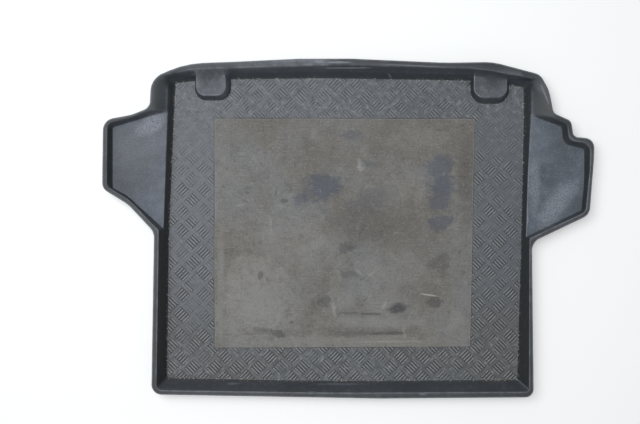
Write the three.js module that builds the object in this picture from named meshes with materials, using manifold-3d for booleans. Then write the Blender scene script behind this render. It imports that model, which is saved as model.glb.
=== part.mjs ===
// A car boot liner: one thermoformed plastic tray with a thin anti-slip mat bonded to its floor.
// The tray is a pan with drafted walls, a raised shelf on each side that fills the car's side pockets,
// two hollow bosses that clear the lashing eyes, and a flat rim with a turned-down lip all round.
//
// Units are millimetres and +Z is up. The origin is under the middle of the liner, on the surface that
// its floor rests on. +Y points to the tailgate edge and -Y to the seat-back edge, so "left" is -X for
// somebody who looks down on the liner with the tailgate edge at the top.
import * as THREE from "three";
import { mergeVertices } from "three/addons/utils/BufferGeometryUtils.js";
import Module from "manifold-3d";

const wasm = await Module();
wasm.setup();

// Heights and thicknesses.
const SHEET = 2.5; // wall of the formed sheet
const RIM_Z = 52; // top of the flat rim
const SHELF_Z = 30; // top of the side shelves
const BOSS_Z = 30; // top of the lashing-eye bosses
const LIP_DROP = 7; // how far the outer lip turns down
const CUT_OVER = 6; // how far a cutting solid runs past the face that it cuts

// Small edges. The sheet is bent, so the inside and the outside of each bend differ by its thickness.
const FLOOR_BEND = 4;
const CREST_BEND = 2.5;
const LIP_BEND = 2;
const SIDE_SHIFT = 1.8; // moving a drafted wall out by this and down by SHEET keeps its thickness

// Five-bar tread on the pan floor.
const TREAD_PITCH_X = 58;
const TREAD_PITCH_Y = 55.35;
const TREAD_START = { x: -467.7, y: -368.6 }; // centre of one group of "\" bars
const BAR_COUNT = 5;
const BAR_PITCH = 7.4;
const BAR_LENGTH = 24;
const BAR_HEIGHT = 1.3;
const BAR_VALLEY = 0.15; // height that is left between two bars
const BAR_ROOT = 0.8; // how deep the bars are sunk into the floor before they are joined
const TREAD_MARGIN = 3; // plain floor along the walls and the bosses
const TREAD_LEAST = 0.6; // a group with less than this share of its bars on the floor is left out

// Anti-slip mat.
const MAT_THICK = 2;
const MAT_GAP = 1; // plain floor between the tread and the edge of the mat
const GLUE_LINE = 0.3; // height of the adhesive under the mat

// Corners are [x, y, radius, steps of the arc], anticlockwise seen from above.
const RIM_OUTER = [
  [-509.5, -430, 26, 4],
  [82, -440.6, 900, 2],
  [480, -437.5, 22, 4],
  [475.5, -36, 34, 4],
  [624.5, 35, 32, 4],
  [636.8, 190, 300, 1],
  [636.2, 231.5, 36, 4],
  [583, 237, 14, 3],
  [577, 278, 18, 3],
  [532, 298, 20, 3],
  [520, 358, 90, 2],
  [497, 398, 34, 3],
  [374, 430.5, 150, 2],
  [250, 428.5, 500, 1],
  [-60, 442.1, 1500, 3],
  [-293, 431, 500, 1],
  [-422, 426, 220, 3],
  [-510.5, 388, 48, 4],
  [-514, 313, 24, 3],
  [-561, 293.5, 120, 2],
  [-634.5, 280.5, 32, 4],
  [-636.8, 103, 26, 4],
  [-570, 62, 90, 2],
  [-502.5, -10, 36, 3],
];

// The pan's walls rise in two steps. Each station is one corner, with its place at the floor, at
// shelf height and at the rim, so that the walls can be steep in one place and shallow in another.
const PAN_STATIONS = [
  { floor: [-479, -397, 9], shelf: [-487, -409, 10], rim: [-496, -418.5, 14], steps: 3 },
  { floor: [-40, -406, 6000], shelf: [-40, -415.5, 6000], rim: [-40, -425.5, 6000], steps: 2 },
  { floor: [449, -402, 3], shelf: [458, -413, 6], rim: [468, -423, 10], steps: 3 },
  { floor: [461, -37, 300], shelf: [464, -37, 300], rim: [468, -43, 200], steps: 1 },
  { floor: [464, 142, 600], shelf: [470, 142, 600], rim: [480, 120, 200], steps: 1 },
  { floor: [466, 285, 600], shelf: [476, 292, 300], rim: [526, 296, 30], steps: 2 },
  { floor: [465.5, 373, 10], shelf: [475, 382, 12], rim: [505, 377, 34], steps: 3 },
  { floor: [324, 390.5, 400], shelf: [330, 400, 400], rim: [345, 412, 300], steps: 1 },
  { floor: [-60, 396.5, 1500], shelf: [-60, 409, 1500], rim: [-60, 424, 1500], steps: 2 },
  { floor: [-377, 393, 300], shelf: [-395, 401.5, 300], rim: [-414, 412, 130], steps: 1 },
  { floor: [-455, 383.5, 10], shelf: [-469.5, 391, 12], rim: [-497, 379, 26], steps: 3 },
  { floor: [-461, 275, 600], shelf: [-472, 300, 300], rim: [-500, 318, 200], steps: 1 },
  { floor: [-474, -32, 600], shelf: [-482, -10, 300], rim: [-490, -17, 300], steps: 1 },
];

// Each shelf runs in over the pan, where the deeper pan takes over from it.
const LEFT_STATIONS = [
  { floor: [-440, 311, 2], rim: [-436, 328, 2], steps: 1 },
  { floor: [-511, 295.5, 200], rim: [-510, 305, 60], steps: 1 },
  { floor: [-555, 281.5, 200], rim: [-559, 286, 120], steps: 1 },
  { floor: [-615, 264, 8], rim: [-622.5, 271, 18], steps: 3 },
  { floor: [-615, 105.5, 8], rim: [-624, 109, 14], steps: 3 },
  { floor: [-576, 84, 60], rim: [-567, 74, 80], steps: 2 },
  { floor: [-440, -40, 2], rim: [-437, -60, 2], steps: 1 },
];
const RIGHT_STATIONS = [
  { floor: [440, -35, 2], rim: [437, -41, 2], steps: 1 },
  { floor: [609, 46, 8], rim: [613.5, 42.5, 18], steps: 3 },
  { floor: [617, 119, 300], rim: [623, 160, 300], steps: 1 },
  { floor: [617, 207, 9], rim: [624, 220, 24], steps: 3 },
  { floor: [562, 221.5, 22], rim: [571, 227, 24], steps: 3 },
  { floor: [558, 266, 8], rim: [566, 270, 8], steps: 3 },
  { floor: [497, 287, 60], rim: [505, 297, 40], steps: 1 },
  { floor: [440, 318, 2], rim: [440, 332, 2], steps: 1 },
];

// U-shaped bosses that stand against the tailgate wall: half widths and front edges.
const BOSSES = [
  { centre: [-356, -358], halfWidth: [47.5, 39], front: [337.5, 346], radius: [32, 25] },
  { centre: [375.5, 372.5], halfWidth: [50.5, 43.5], front: [328.5, 341], radius: [34, 26] },
];
const BOSS_BACK = 460; // past the wall, which cuts the boss off

const MAT_CORNERS = [
  [-352, -316.5, 2, 1],
  [324.5, -313.5, 2, 1],
  [336, 288.5, 2, 1],
  [-352, 289.5, 2, 1],
];

// Turns corners into points, with an arc at each corner.
function roundedOutline(corners) {
  const count = corners.length;
  return corners.flatMap(([x, y, radius, steps], i) => {
    const here = new THREE.Vector2(x, y);
    const before = new THREE.Vector2(...corners[(i + count - 1) % count].slice(0, 2)).sub(here);
    const after = new THREE.Vector2(...corners[(i + 1) % count].slice(0, 2)).sub(here);
    const reach = 0.48 * Math.min(before.length(), after.length());
    before.normalize();
    after.normalize();
    const half = Math.acos(THREE.MathUtils.clamp(before.dot(after), -1, 1)) / 2;
    const tangent = Math.min(radius / Math.tan(half), reach);
    const arc = new THREE.QuadraticBezierCurve(
      here.clone().addScaledVector(before, tangent),
      here,
      here.clone().addScaledVector(after, tangent),
    );
    return arc.getPoints(steps);
  });
}

// Moves every edge of an outline out by a distance, or in where it is negative.
function offsetCorners(corners, distance) {
  const count = corners.length;
  const outward = (a, b) => new THREE.Vector2(b[1] - a[1], a[0] - b[0]).normalize();
  return corners.map((corner, i) => {
    const [x, y, radius, steps] = corner;
    const first = outward(corners[(i + count - 1) % count], corner);
    const second = outward(corner, corners[(i + 1) % count]);
    const shift = first.clone().add(second).multiplyScalar(distance / (1 + first.dot(second)));
    const turn = Math.sign(first.cross(second));
    return [x + shift.x, y + shift.y, Math.max(radius + turn * distance, 1), steps];
  });
}

const cornersAt = (stations, level) => stations.map((s) => [...s[level], s.steps]);

// A closed solid through outlines that have the same number of points, given as {z, corners}.
function loft(levels) {
  const rings = levels.map(({ corners, z }) => roundedOutline(corners).map((p) => [p.x, p.y, z]));
  const size = rings[0].length;
  const triangles = [];
  for (let level = 0; level + 1 < rings.length; level++) {
    for (let i = 0; i < size; i++) {
      const j = (i + 1) % size;
      const [a, b, c, d] = [rings[level][i], rings[level][j], rings[level + 1][j], rings[level + 1][i]];
      triangles.push([a, b, c], [a, c, d]);
    }
  }
  for (const [ring, turned] of [[rings[0], true], [rings[rings.length - 1], false]]) {
    const flat = ring.map(([x, y]) => new THREE.Vector2(x, y));
    for (const [a, b, c] of THREE.ShapeUtils.triangulateShape(flat, [])) {
      triangles.push(turned ? [ring[a], ring[c], ring[b]] : [ring[a], ring[b], ring[c]]);
    }
  }
  const geometry = new THREE.BufferGeometry();
  geometry.setAttribute("position", new THREE.Float32BufferAttribute(triangles.flat(2), 3));
  return solidFrom(geometry);
}

function solidFrom(geometry) {
  const bare = geometry.clone();
  bare.deleteAttribute("normal");
  bare.deleteAttribute("uv");
  const merged = mergeVertices(bare, 1e-4);
  return new wasm.Manifold(
    new wasm.Mesh({
      numProp: 3,
      vertProperties: new Float32Array(merged.attributes.position.array),
      triVerts: new Uint32Array(merged.index.array),
    }),
  );
}

function geometryFrom(solid) {
  const { vertProperties, triVerts } = solid.getMesh();
  const geometry = new THREE.BufferGeometry();
  geometry.setAttribute("position", new THREE.BufferAttribute(vertProperties, 3));
  geometry.setIndex(new THREE.BufferAttribute(triVerts, 1));
  geometry.computeVertexNormals();
  return geometry;
}

// The pan: its hollow when shift and drop are 0, its outside when they are the sheet's.
function panSolid(shift, drop, top) {
  const floor = cornersAt(PAN_STATIONS, "floor");
  const shelf = cornersAt(PAN_STATIONS, "shelf");
  const rim = cornersAt(PAN_STATIONS, "rim");
  return loft([
    { corners: offsetCorners(floor, shift - FLOOR_BEND), z: SHEET - drop },
    { corners: offsetCorners(floor, shift + 1), z: SHEET + FLOOR_BEND - drop },
    { corners: offsetCorners(shelf, shift), z: SHELF_Z - drop },
    { corners: offsetCorners(rim, shift - 1), z: RIM_Z - CREST_BEND - drop },
    { corners: offsetCorners(rim, shift + CREST_BEND - 1), z: RIM_Z - drop },
    { corners: offsetCorners(rim, shift + CREST_BEND - 1), z: top },
  ]);
}

function shelfSolid(stations, shift, drop, top) {
  const floor = cornersAt(stations, "floor");
  const rim = cornersAt(stations, "rim");
  return loft([
    { corners: offsetCorners(floor, shift - CREST_BEND), z: SHELF_Z - drop },
    { corners: offsetCorners(floor, shift + 1), z: SHELF_Z + CREST_BEND - drop },
    { corners: offsetCorners(rim, shift - 1), z: RIM_Z - CREST_BEND - drop },
    { corners: offsetCorners(rim, shift + CREST_BEND - 1), z: RIM_Z - drop },
    { corners: offsetCorners(rim, shift + CREST_BEND - 1), z: top },
  ]);
}

// The flat rim with its turned-down lip, before the pan and the shelves are cut out of it.
function rimSolid() {
  const under = offsetCorners(RIM_OUTER, -SHEET);
  const plate = loft([
    { corners: RIM_OUTER, z: RIM_Z - LIP_DROP },
    { corners: RIM_OUTER, z: RIM_Z - LIP_BEND },
    { corners: offsetCorners(RIM_OUTER, -LIP_BEND), z: RIM_Z },
  ]);
  const hollow = loft([
    { corners: under, z: RIM_Z - LIP_DROP - CUT_OVER },
    { corners: under, z: RIM_Z - SHEET },
  ]);
  return plate.subtract(hollow);
}

// One boss or its hollow: shrink thins it on every side and drop lowers its top.
function bossSolid(boss, shrink, drop) {
  const level = (index) => {
    const half = boss.halfWidth[index] - shrink;
    const [front, radius] = [boss.front[index] + shrink, boss.radius[index]];
    const x = boss.centre[index];
    return [
      [x - half, front, radius, 4],
      [x + half, front, radius, 4],
      [x + half, BOSS_BACK, 1, 1],
      [x - half, BOSS_BACK, 1, 1],
    ];
  };
  const slope = (BOSS_Z - SHEET) / CUT_OVER;
  const below = level(0).map(([x, y, ...rest], i) => {
    const top = level(1)[i];
    return [x - (top[0] - x) / slope, y - (top[1] - y) / slope, ...rest];
  });
  return loft([
    { corners: below, z: SHEET - CUT_OVER - drop },
    { corners: level(1), z: BOSS_Z - drop },
  ]);
}

// One group of tread bars, side by side, centred on its own middle and lying along +X.
function barGroup() {
  const half = (BAR_COUNT * BAR_PITCH) / 2;
  const section = new THREE.Shape([new THREE.Vector2(-half, -BAR_ROOT), new THREE.Vector2(half, -BAR_ROOT)]);
  for (let bar = BAR_COUNT - 1; bar >= 0; bar--) {
    const crest = -half + (bar + 0.5) * BAR_PITCH;
    section.lineTo(crest, BAR_HEIGHT);
    if (bar > 0) section.lineTo(crest - BAR_PITCH / 2, BAR_VALLEY);
  }
  const bars = new THREE.ExtrudeGeometry(section, { depth: BAR_LENGTH, bevelEnabled: false, steps: 1 });
  return bars.translate(0, 0, -BAR_LENGTH / 2).rotateX(Math.PI / 2).rotateZ(Math.PI / 2);
}

// All the tread groups that fall on the pan floor, clear of the walls, the bosses and the mat.
function treadSolid() {
  const floor = offsetCorners(cornersAt(PAN_STATIONS, "floor"), -FLOOR_BEND - TREAD_MARGIN / 2);
  const band = { low: SHEET - BAR_ROOT, high: SHEET + BAR_HEIGHT };
  const slab = (corners, margin) =>
    loft([
      { corners: offsetCorners(corners, margin), z: band.low - 1 },
      { corners: offsetCorners(corners, margin), z: band.high + 1 },
    ]);
  const onFloor = slab(floor, 0);
  let bare = slab(MAT_CORNERS, MAT_GAP);
  for (const boss of BOSSES) bare = bare.add(bossSolid(boss, -TREAD_MARGIN, 0));
  const field = onFloor.subtract(bare);

  const group = barGroup();
  const least = TREAD_LEAST * solidFrom(group).volume();
  let tread = null;
  for (let row = -1; row < 15; row++) {
    for (let column = -1; column < 18; column++) {
      for (const turned of [0, 1]) {
        const x = TREAD_START.x + (column + turned / 2) * TREAD_PITCH_X;
        const y = TREAD_START.y + (row + turned / 2) * TREAD_PITCH_Y;
        const angle = turned ? Math.PI / 4 : -Math.PI / 4;
        const piece = solidFrom(group.clone().rotateZ(angle).translate(x, y, SHEET)).intersect(field);
        if (piece.volume() > least) tread = tread ? tread.add(piece) : piece;
      }
    }
  }
  return tread;
}

function traySolid() {
  const overRim = RIM_Z + CUT_OVER;
  const insideRim = RIM_Z - SHEET / 2;
  const panOutside = panSolid(SIDE_SHIFT, SHEET, insideRim);
  let tray = rimSolid().add(panOutside);
  for (const stations of [LEFT_STATIONS, RIGHT_STATIONS]) {
    tray = tray.add(shelfSolid(stations, SIDE_SHIFT, SHEET, insideRim));
  }
  tray = tray.subtract(panSolid(0, 0, overRim));
  for (const stations of [LEFT_STATIONS, RIGHT_STATIONS]) {
    tray = tray.subtract(shelfSolid(stations, 0, 0, overRim));
  }
  for (const boss of BOSSES) {
    tray = tray.add(bossSolid(boss, 0, 0).intersect(panOutside));
    tray = tray.subtract(bossSolid(boss, SHEET, SHEET));
  }
  return tray.add(treadSolid());
}

function matSolid() {
  return loft([
    { corners: MAT_CORNERS, z: SHEET + GLUE_LINE },
    { corners: MAT_CORNERS, z: SHEET + GLUE_LINE + MAT_THICK },
  ]);
}

function named(name, solid, color, roughness) {
  const material = new THREE.MeshStandardMaterial({ color, roughness, metalness: 0 });
  const mesh = new THREE.Mesh(geometryFrom(solid), material);
  mesh.name = name;
  return mesh;
}

const bootLiner = new THREE.Group();
bootLiner.add(named("liner_tray", traySolid(), 0x4a4c50, 0.6));
bootLiner.add(named("anti_slip_mat", matSolid(), 0x726f69, 0.9));

export default bootLiner;
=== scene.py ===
"""Dresses a used car boot liner: a formed plastic tray with a bonded anti-slip mat.

Sizes are in millimetres until a mesh is made, and a mesh is in metres. The frame is the part's own:
+X to the right side shelf, +Y to the tailgate edge, +Z up, with the tray's floor resting on z = 0.
"""

from __future__ import annotations

import logging
import math
from dataclasses import dataclass
from enum import Enum
from functools import partial
from itertools import product
from typing import Any, Callable

import bpy
import numpy as np
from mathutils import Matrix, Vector
from mathutils.geometry import delaunay_2d_cdt


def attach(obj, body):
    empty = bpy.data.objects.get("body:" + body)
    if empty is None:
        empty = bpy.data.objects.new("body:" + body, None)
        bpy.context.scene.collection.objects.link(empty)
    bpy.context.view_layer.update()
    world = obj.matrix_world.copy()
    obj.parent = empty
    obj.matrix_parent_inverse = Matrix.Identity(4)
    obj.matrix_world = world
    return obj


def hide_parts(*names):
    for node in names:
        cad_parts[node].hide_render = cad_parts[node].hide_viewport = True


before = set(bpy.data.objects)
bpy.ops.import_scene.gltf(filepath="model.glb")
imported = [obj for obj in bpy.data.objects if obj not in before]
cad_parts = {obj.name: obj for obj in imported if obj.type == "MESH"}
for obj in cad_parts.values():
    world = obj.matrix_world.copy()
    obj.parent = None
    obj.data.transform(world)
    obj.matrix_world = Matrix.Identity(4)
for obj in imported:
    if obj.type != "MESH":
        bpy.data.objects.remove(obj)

LOG = logging.getLogger("boot_liner")

Colour = tuple[int, int, int]
Corner = tuple[float, float, float]
Station = tuple[float, float]
Relief = tuple[float, float]
Rows = np.ndarray
Socket = bpy.types.NodeSocket

MM = 0.001
SHEET = 2.5
FLOOR_Z = SHEET
SHELF_Z = 30.0
BOSS_Z = 30.0
RIM_Z = 52.0


def smooth_min(first: Rows, second: Rows | float, blend: Rows | float) -> Rows:
    """Takes the lower of two heights and rounds the crease between them.

    Args:
        first: Heights of one surface.
        second: Heights of the other surface.
        blend: Difference in height below which the two run into each other.

    Returns:
        The joined heights.
    """
    blend = np.maximum(blend, 1e-6)
    overlap = np.maximum(blend - np.abs(first - second), 0.0) / blend
    return np.minimum(first, second) - overlap**2 * blend / 4


def smooth_max(first: Rows, second: Rows | float, blend: Rows | float) -> Rows:
    """Takes the higher of two heights and rounds the crease between them.

    Args:
        first: Heights of one surface.
        second: Heights of the other surface.
        blend: Difference in height below which the two run into each other.

    Returns:
        The joined heights.
    """
    return -smooth_min(-first, -np.asarray(second, dtype=float), blend)


def ramp(value: Rows, low: float, high: float) -> Rows:
    """Rises smoothly from 0 at low to 1 at high.

    Args:
        value: Values to map.
        low: Value that gives 0.
        high: Value that gives 1.

    Returns:
        Shares between 0 and 1.
    """
    share = np.clip((value - low) / (high - low), 0.0, 1.0)
    return share * share * (3 - 2 * share)


@dataclass(frozen=True)
class Outline:
    """A closed outline seen from above, anticlockwise, given by its corners and their radii."""

    corners: tuple[Corner, ...]

    def offset(self, distance: float) -> Outline:
        """Moves every edge outwards.

        Args:
            distance: How far the edges move, or inwards where it is negative.

        Returns:
            The new outline, with as many corners.
        """
        moved = []
        for before, here, after in self._neighbours():
            first, second = self._outward(before, here), self._outward(here, after)
            shift = (first + second) * distance / (1 + first @ second)
            turn = math.copysign(1.0, first[0] * second[1] - first[1] * second[0])
            moved.append((here[0] + shift[0], here[1] + shift[1], max(here[2] + turn * distance, 1.0)))
        return Outline(tuple(moved))

    def between(self, other: Outline, share: float) -> Outline:
        """Finds an outline on the way to another with as many corners.

        Args:
            other: The outline at share 1.
            share: How far along the way it lies.

        Returns:
            The outline between.
        """
        mixed = np.array(self.corners) * (1 - share) + np.array(other.corners) * share
        return Outline(tuple(map(tuple, mixed.tolist())))

    def points(self, longest: float = math.inf, finest_turn: float = 7.0) -> Rows:
        """Walks once round the outline.

        Args:
            longest: Longest step along a straight.
            finest_turn: Degrees of a corner's arc for each step.

        Returns:
            Points of the closed line, without repeating the first.
        """
        walked: list[np.ndarray] = []
        for before, here, after in self._neighbours():
            corner = np.array(here[:2])
            back, ahead = np.array(before[:2]) - corner, np.array(after[:2]) - corner
            reach = 0.48 * min(np.linalg.norm(back), np.linalg.norm(ahead))
            back, ahead = back / np.linalg.norm(back), ahead / np.linalg.norm(ahead)
            half = math.acos(max(-1.0, min(1.0, float(back @ ahead)))) / 2
            tangent = min(here[2] / math.tan(half), reach) if half < math.pi / 2 - 1e-4 else 0.0
            turn = math.pi - 2 * half
            steps = max(1, round(math.degrees(turn) / finest_turn))
            radius = tangent * math.tan(half)
            middle = corner + (back + ahead) / max(np.linalg.norm(back + ahead), 1e-9) * (
                radius / max(math.sin(half), 1e-9)
            )
            start = corner + back * tangent - middle
            side = math.copysign(1.0, back[1] * ahead[0] - back[0] * ahead[1])
            for step in range(steps + 1):
                angle = side * turn * step / steps
                spin = np.array([[math.cos(angle), -math.sin(angle)], [math.sin(angle), math.cos(angle)]])
                walked.append(middle + spin @ start if tangent > 0 else corner)
        line: list[np.ndarray] = []
        for here, after in zip(walked, walked[1:] + walked[:1]):
            span = float(np.linalg.norm(after - here))
            if span < 0.02:
                continue
            pieces = max(1, math.ceil(span / longest))
            line += [here + (after - here) * piece / pieces for piece in range(pieces)]
        return np.array(line)

    def distance(self, at: Rows) -> Rows:
        """Measures how far points lie from the outline.

        Args:
            at: Points, one to a row.

        Returns:
            Distances, negative inside.
        """
        line = self.points()
        nearest = np.full(len(at), np.inf)
        inside = np.zeros(len(at), dtype=bool)
        x, y = np.ascontiguousarray(at[:, 0]), np.ascontiguousarray(at[:, 1])
        for here, after in zip(line, np.roll(line, -1, axis=0)):
            edge_x, edge_y = after - here
            gap_x, gap_y = x - here[0], y - here[1]
            along = np.clip((gap_x * edge_x + gap_y * edge_y) / (edge_x**2 + edge_y**2), 0.0, 1.0)
            nearest = np.minimum(nearest, (gap_x - along * edge_x) ** 2 + (gap_y - along * edge_y) ** 2)
            if here[1] != after[1]:
                spans = (here[1] <= y) != (after[1] <= y)
                inside ^= spans & (gap_x < gap_y * (edge_x / edge_y))
        return np.where(inside, -1.0, 1.0) * np.sqrt(nearest)

    def _neighbours(self) -> list[tuple[Corner, Corner, Corner]]:
        """Gives each corner with the one before and the one after it."""
        ring = self.corners
        return [(ring[i - 1], ring[i], ring[(i + 1) % len(ring)]) for i in range(len(ring))]

    @staticmethod
    def _outward(start: Corner, end: Corner) -> np.ndarray:
        """Gives the outward unit normal of an edge."""
        normal = np.array([end[1] - start[1], start[0] - end[0]])
        return normal / np.linalg.norm(normal)


@dataclass(frozen=True)
class Draft:
    """A wall that rises evenly between two nested outlines."""

    foot: Outline
    head: Outline
    foot_z: float
    head_z: float
    rises_inwards: bool = False

    def rise(self, at: Rows) -> tuple[Rows, Rows]:
        """Finds the wall's height, which carries on past its foot and its head.

        Args:
            at: Points, one to a row.

        Returns:
            The heights and the slopes there.
        """
        side = -1.0 if self.rises_inwards else 1.0
        past_foot = side * self.foot.distance(at)
        width = np.maximum(past_foot - side * self.head.distance(at), 1.0)
        slope = (self.head_z - self.foot_z) / width
        return self.foot_z + past_foot * slope, slope


def rings(outline: Outline, offsets: tuple[float, ...], longest: float) -> list[Rows]:
    """Copies an outline beside itself, to carry the rounding of a bend.

    Args:
        outline: The line of the bend.
        offsets: Where the copies lie, positive outwards.
        longest: Longest step along a straight.

    Returns:
        One closed line of points for each offset.
    """
    return [outline.offset(offset).points(longest) for offset in offsets]


@dataclass(frozen=True)
class Pan:
    """The deep middle of the tray, whose walls are steep up to shelf height and may ease off above."""

    floor: Outline = Outline((
        (-479, -397, 9), (-40, -406, 6000), (449, -402, 3), (460, -37, 300), (464, 142, 600),
        (466, 285, 600), (465.5, 373, 10), (324, 390.5, 400), (-60, 396.5, 1500), (-377, 393, 300),
        (-455, 383.5, 10), (-461, 275, 600), (-474, -32, 600),
    ))
    knee: Outline = Outline((
        (-487, -409, 10), (-40, -415.5, 6000), (458, -413, 6), (464, -37, 300), (470, 142, 600),
        (479, 292, 300), (478, 384, 12), (330, 400, 400), (-60, 409, 1500), (-395, 401.5, 300),
        (-469.5, 391, 12), (-472, 300, 300), (-482, -10, 300),
    ))
    rim: Outline = Outline((
        (-496, -418.5, 14), (-40, -425.5, 6000), (468, -423, 10), (468, -43, 200), (482, 120, 200),
        (527, 297, 30), (504, 380, 38), (345, 413, 300), (-60, 424.5, 1500), (-414, 412, 130),
        (-506, 383, 30), (-509, 318, 200), (-490, -17, 300),
    ))
    bend: float = 3.5
    bend_on_slope: float = 0.3
    knee_blend: float = 6.0
    crest_tight: float = 3.5
    crest_along_tailgate: tuple[Station, ...] = (
        (-490, 10.0), (-440, 13.0), (-130, 12.0), (0, 3.5), (390, 3.5), (430, 13.0),
    )
    shoulder_starts: float = 262.0
    shoulder_ends: float = 312.0
    foot_rings: tuple[float, ...] = (-3.1, -2.5, -1.8, -1.0, -0.3, 0.4, 1.2)
    knee_rings: tuple[float, ...] = (-1.5, -0.6, 0.2, 1.2, 2.6)
    rim_rings: tuple[float, ...] = (-4.5, -2.6, -1.4, -0.5, 0.3, 1.2, 2.4)
    lower_step: float = 28.0
    upper_step: float = 24.0

    def open_height(self, at: Rows) -> tuple[Rows, Rows]:
        """Finds the pan's surface, with its walls carried on above the rim.

        Args:
            at: Points, one to a row.

        Returns:
            The heights, and how far the rounding of the crest above them reaches.
        """
        lower, lower_slope = Draft(self.floor, self.knee, FLOOR_Z, SHELF_Z).rise(at)
        upper, upper_slope = Draft(self.knee, self.rim, SHELF_Z, RIM_Z).rise(at)
        eases = upper_slope < lower_slope
        change = np.clip(np.abs(upper_slope - lower_slope) / lower_slope, 0.0, 1.0)
        blend = self.knee_blend * change
        wall = np.where(eases, smooth_min(lower, upper, blend), smooth_max(lower, upper, blend))
        height = smooth_max(wall, FLOOR_Z, self.bend * (1 + self.bend_on_slope * lower_slope))
        return height, self._crest(at)

    def _crest(self, at: Rows) -> Rows:
        """Finds how far the crest's rounding reaches: far along parts of the tailgate and the shoulders.

        Args:
            at: Points, one to a row.

        Returns:
            Differences in height within which the crest is rounded.
        """
        places, reach = np.array(self.crest_along_tailgate).T
        soft = np.interp(at[:, 0], places, reach)
        on_shoulder = ramp(at[:, 1], self.shoulder_starts, self.shoulder_ends)
        return self.crest_tight + (soft - self.crest_tight) * on_shoulder

    def lines(self) -> list[Rows]:
        """Gives the closed lines that the pan's bends need in the mesh."""
        return [
            *rings(self.floor, self.foot_rings, self.lower_step),
            *rings(self.floor.between(self.knee, 0.5), (0.0,), self.lower_step),
            *rings(self.knee, self.knee_rings, self.upper_step),
            *rings(self.knee.between(self.rim, 0.5), (0.0,), self.upper_step),
            *rings(self.rim, self.rim_rings, self.upper_step),
        ]


@dataclass(frozen=True)
class SideShelf:
    """A raised flat beside the pan, with its own walls on the outer sides."""

    floor: Outline
    rim: Outline
    bend: float = 6.0
    foot_rings: tuple[float, ...] = (-3.0, -1.8, -0.8, 0.1, 1.0)
    rim_rings: tuple[float, ...] = (-2.2, -1.2, -0.3, 0.6, 1.6)
    longest: float = 20.0

    def open_height(self, at: Rows) -> Rows:
        """Finds the shelf's surface, with its walls carried on above the rim.

        Args:
            at: Points, one to a row.

        Returns:
            The heights there.
        """
        wall, _ = Draft(self.floor, self.rim, SHELF_Z, RIM_Z).rise(at)
        return smooth_max(wall, SHELF_Z, self.bend)

    def lines(self) -> list[Rows]:
        """Gives the closed lines that the shelf's bends need in the mesh."""
        return [
            *rings(self.floor, self.foot_rings, self.longest),
            *rings(self.floor.between(self.rim, 0.5), (0.0,), self.longest),
            *rings(self.rim, self.rim_rings, self.longest),
        ]


LEFT_SHELF = SideShelf(
    floor=Outline((
        (-440, 311, 2), (-511, 295.5, 200), (-555, 281.5, 200), (-615, 264, 9), (-615, 105.5, 9),
        (-576, 84, 60), (-440, -40, 2),
    )),
    rim=Outline((
        (-436, 328, 2), (-510, 305, 60), (-559, 286, 120), (-622.5, 271, 20), (-624, 109, 16),
        (-567, 74, 80), (-437, -60, 2),
    )),
)

RIGHT_SHELF = SideShelf(
    floor=Outline((
        (440, -35, 2), (609, 46, 9), (617, 119, 300), (617, 207, 10), (562, 221.5, 22), (558, 266, 9),
        (497, 287, 60), (440, 318, 2),
    )),
    rim=Outline((
        (437, -41, 2), (613.5, 42.5, 20), (625, 160, 300), (626, 220, 26), (571, 227, 22),
        (566, 270, 12), (505, 297, 40), (440, 332, 2),
    )),
)


@dataclass(frozen=True)
class Boss:
    """A U-shaped rise against the tailgate wall, over one of the car's lashing eyes."""

    middle: float
    half_width: float
    front: float
    radius: float
    foot_spread: tuple[float, float, float]
    join: float
    apron: float = 0.0
    apron_from: float = 386.0
    apron_blend: float = 8.0
    bend: float = 6.0
    back: float = 470.0
    foot_growth: float = 0.8
    foot_rings: tuple[float, ...] = (-0.9, 0.0, 0.9, 1.9, 2.5)
    top_rings: tuple[float, ...] = (-3.0, -1.8, -0.8, 0.2, 1.0)
    longest: float = 15.0

    def _outline(self, left: float, right: float, front: float, radius: float) -> Outline:
        """Draws a U that is open past the tailgate wall."""
        ends = ((right, self.back, 1), (left, self.back, 1))
        return Outline(((left, front, radius), (right, front, radius), *ends))

    @property
    def top(self) -> Outline:
        """The edge of the boss's flat top."""
        left, right = self.middle - self.half_width, self.middle + self.half_width
        return self._outline(left, right, self.front, self.radius)

    @property
    def foot(self) -> Outline:
        """The line where the boss's sides meet the floor."""
        to_left, to_right, to_front = self.foot_spread
        left, right = self.middle - self.half_width - to_left, self.middle + self.half_width + to_right
        return self._outline(left, right, self.front - to_front, self.radius + self.foot_growth * to_front)

    def height(self, at: Rows) -> Rows:
        """Finds the boss's surface, which falls below the floor outside its foot.

        Args:
            at: Points, one to a row.

        Returns:
            The heights there.
        """
        sides, _ = Draft(self.foot, self.top, FLOOR_Z, BOSS_Z, rises_inwards=True).rise(at)
        slope = self.apron * smooth_max(at[:, 1] - self.apron_from, 0.0, self.apron_blend)
        return smooth_min(sides, np.minimum(BOSS_Z + slope, RIM_Z), self.bend)

    def lines(self) -> list[Rows]:
        """Gives the closed lines that the boss's bends need in the mesh."""
        return [
            *rings(self.foot, self.foot_rings, self.longest),
            *rings(self.foot.between(self.top, 0.5), (0.0,), self.longest),
            *rings(self.top, self.top_rings, self.longest),
        ]


LEFT_BOSS = Boss(
    middle=-358, half_width=39, front=346, radius=25, foot_spread=(6.5, 10.5, 8.5), join=20.0, apron=0.35
)
RIGHT_BOSS = Boss(
    middle=372.5, half_width=43.5, front=341, radius=26, foot_spread=(4.0, 10.0, 12.5), join=12.0
)
BOSSES = (LEFT_BOSS, RIGHT_BOSS)


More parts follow.
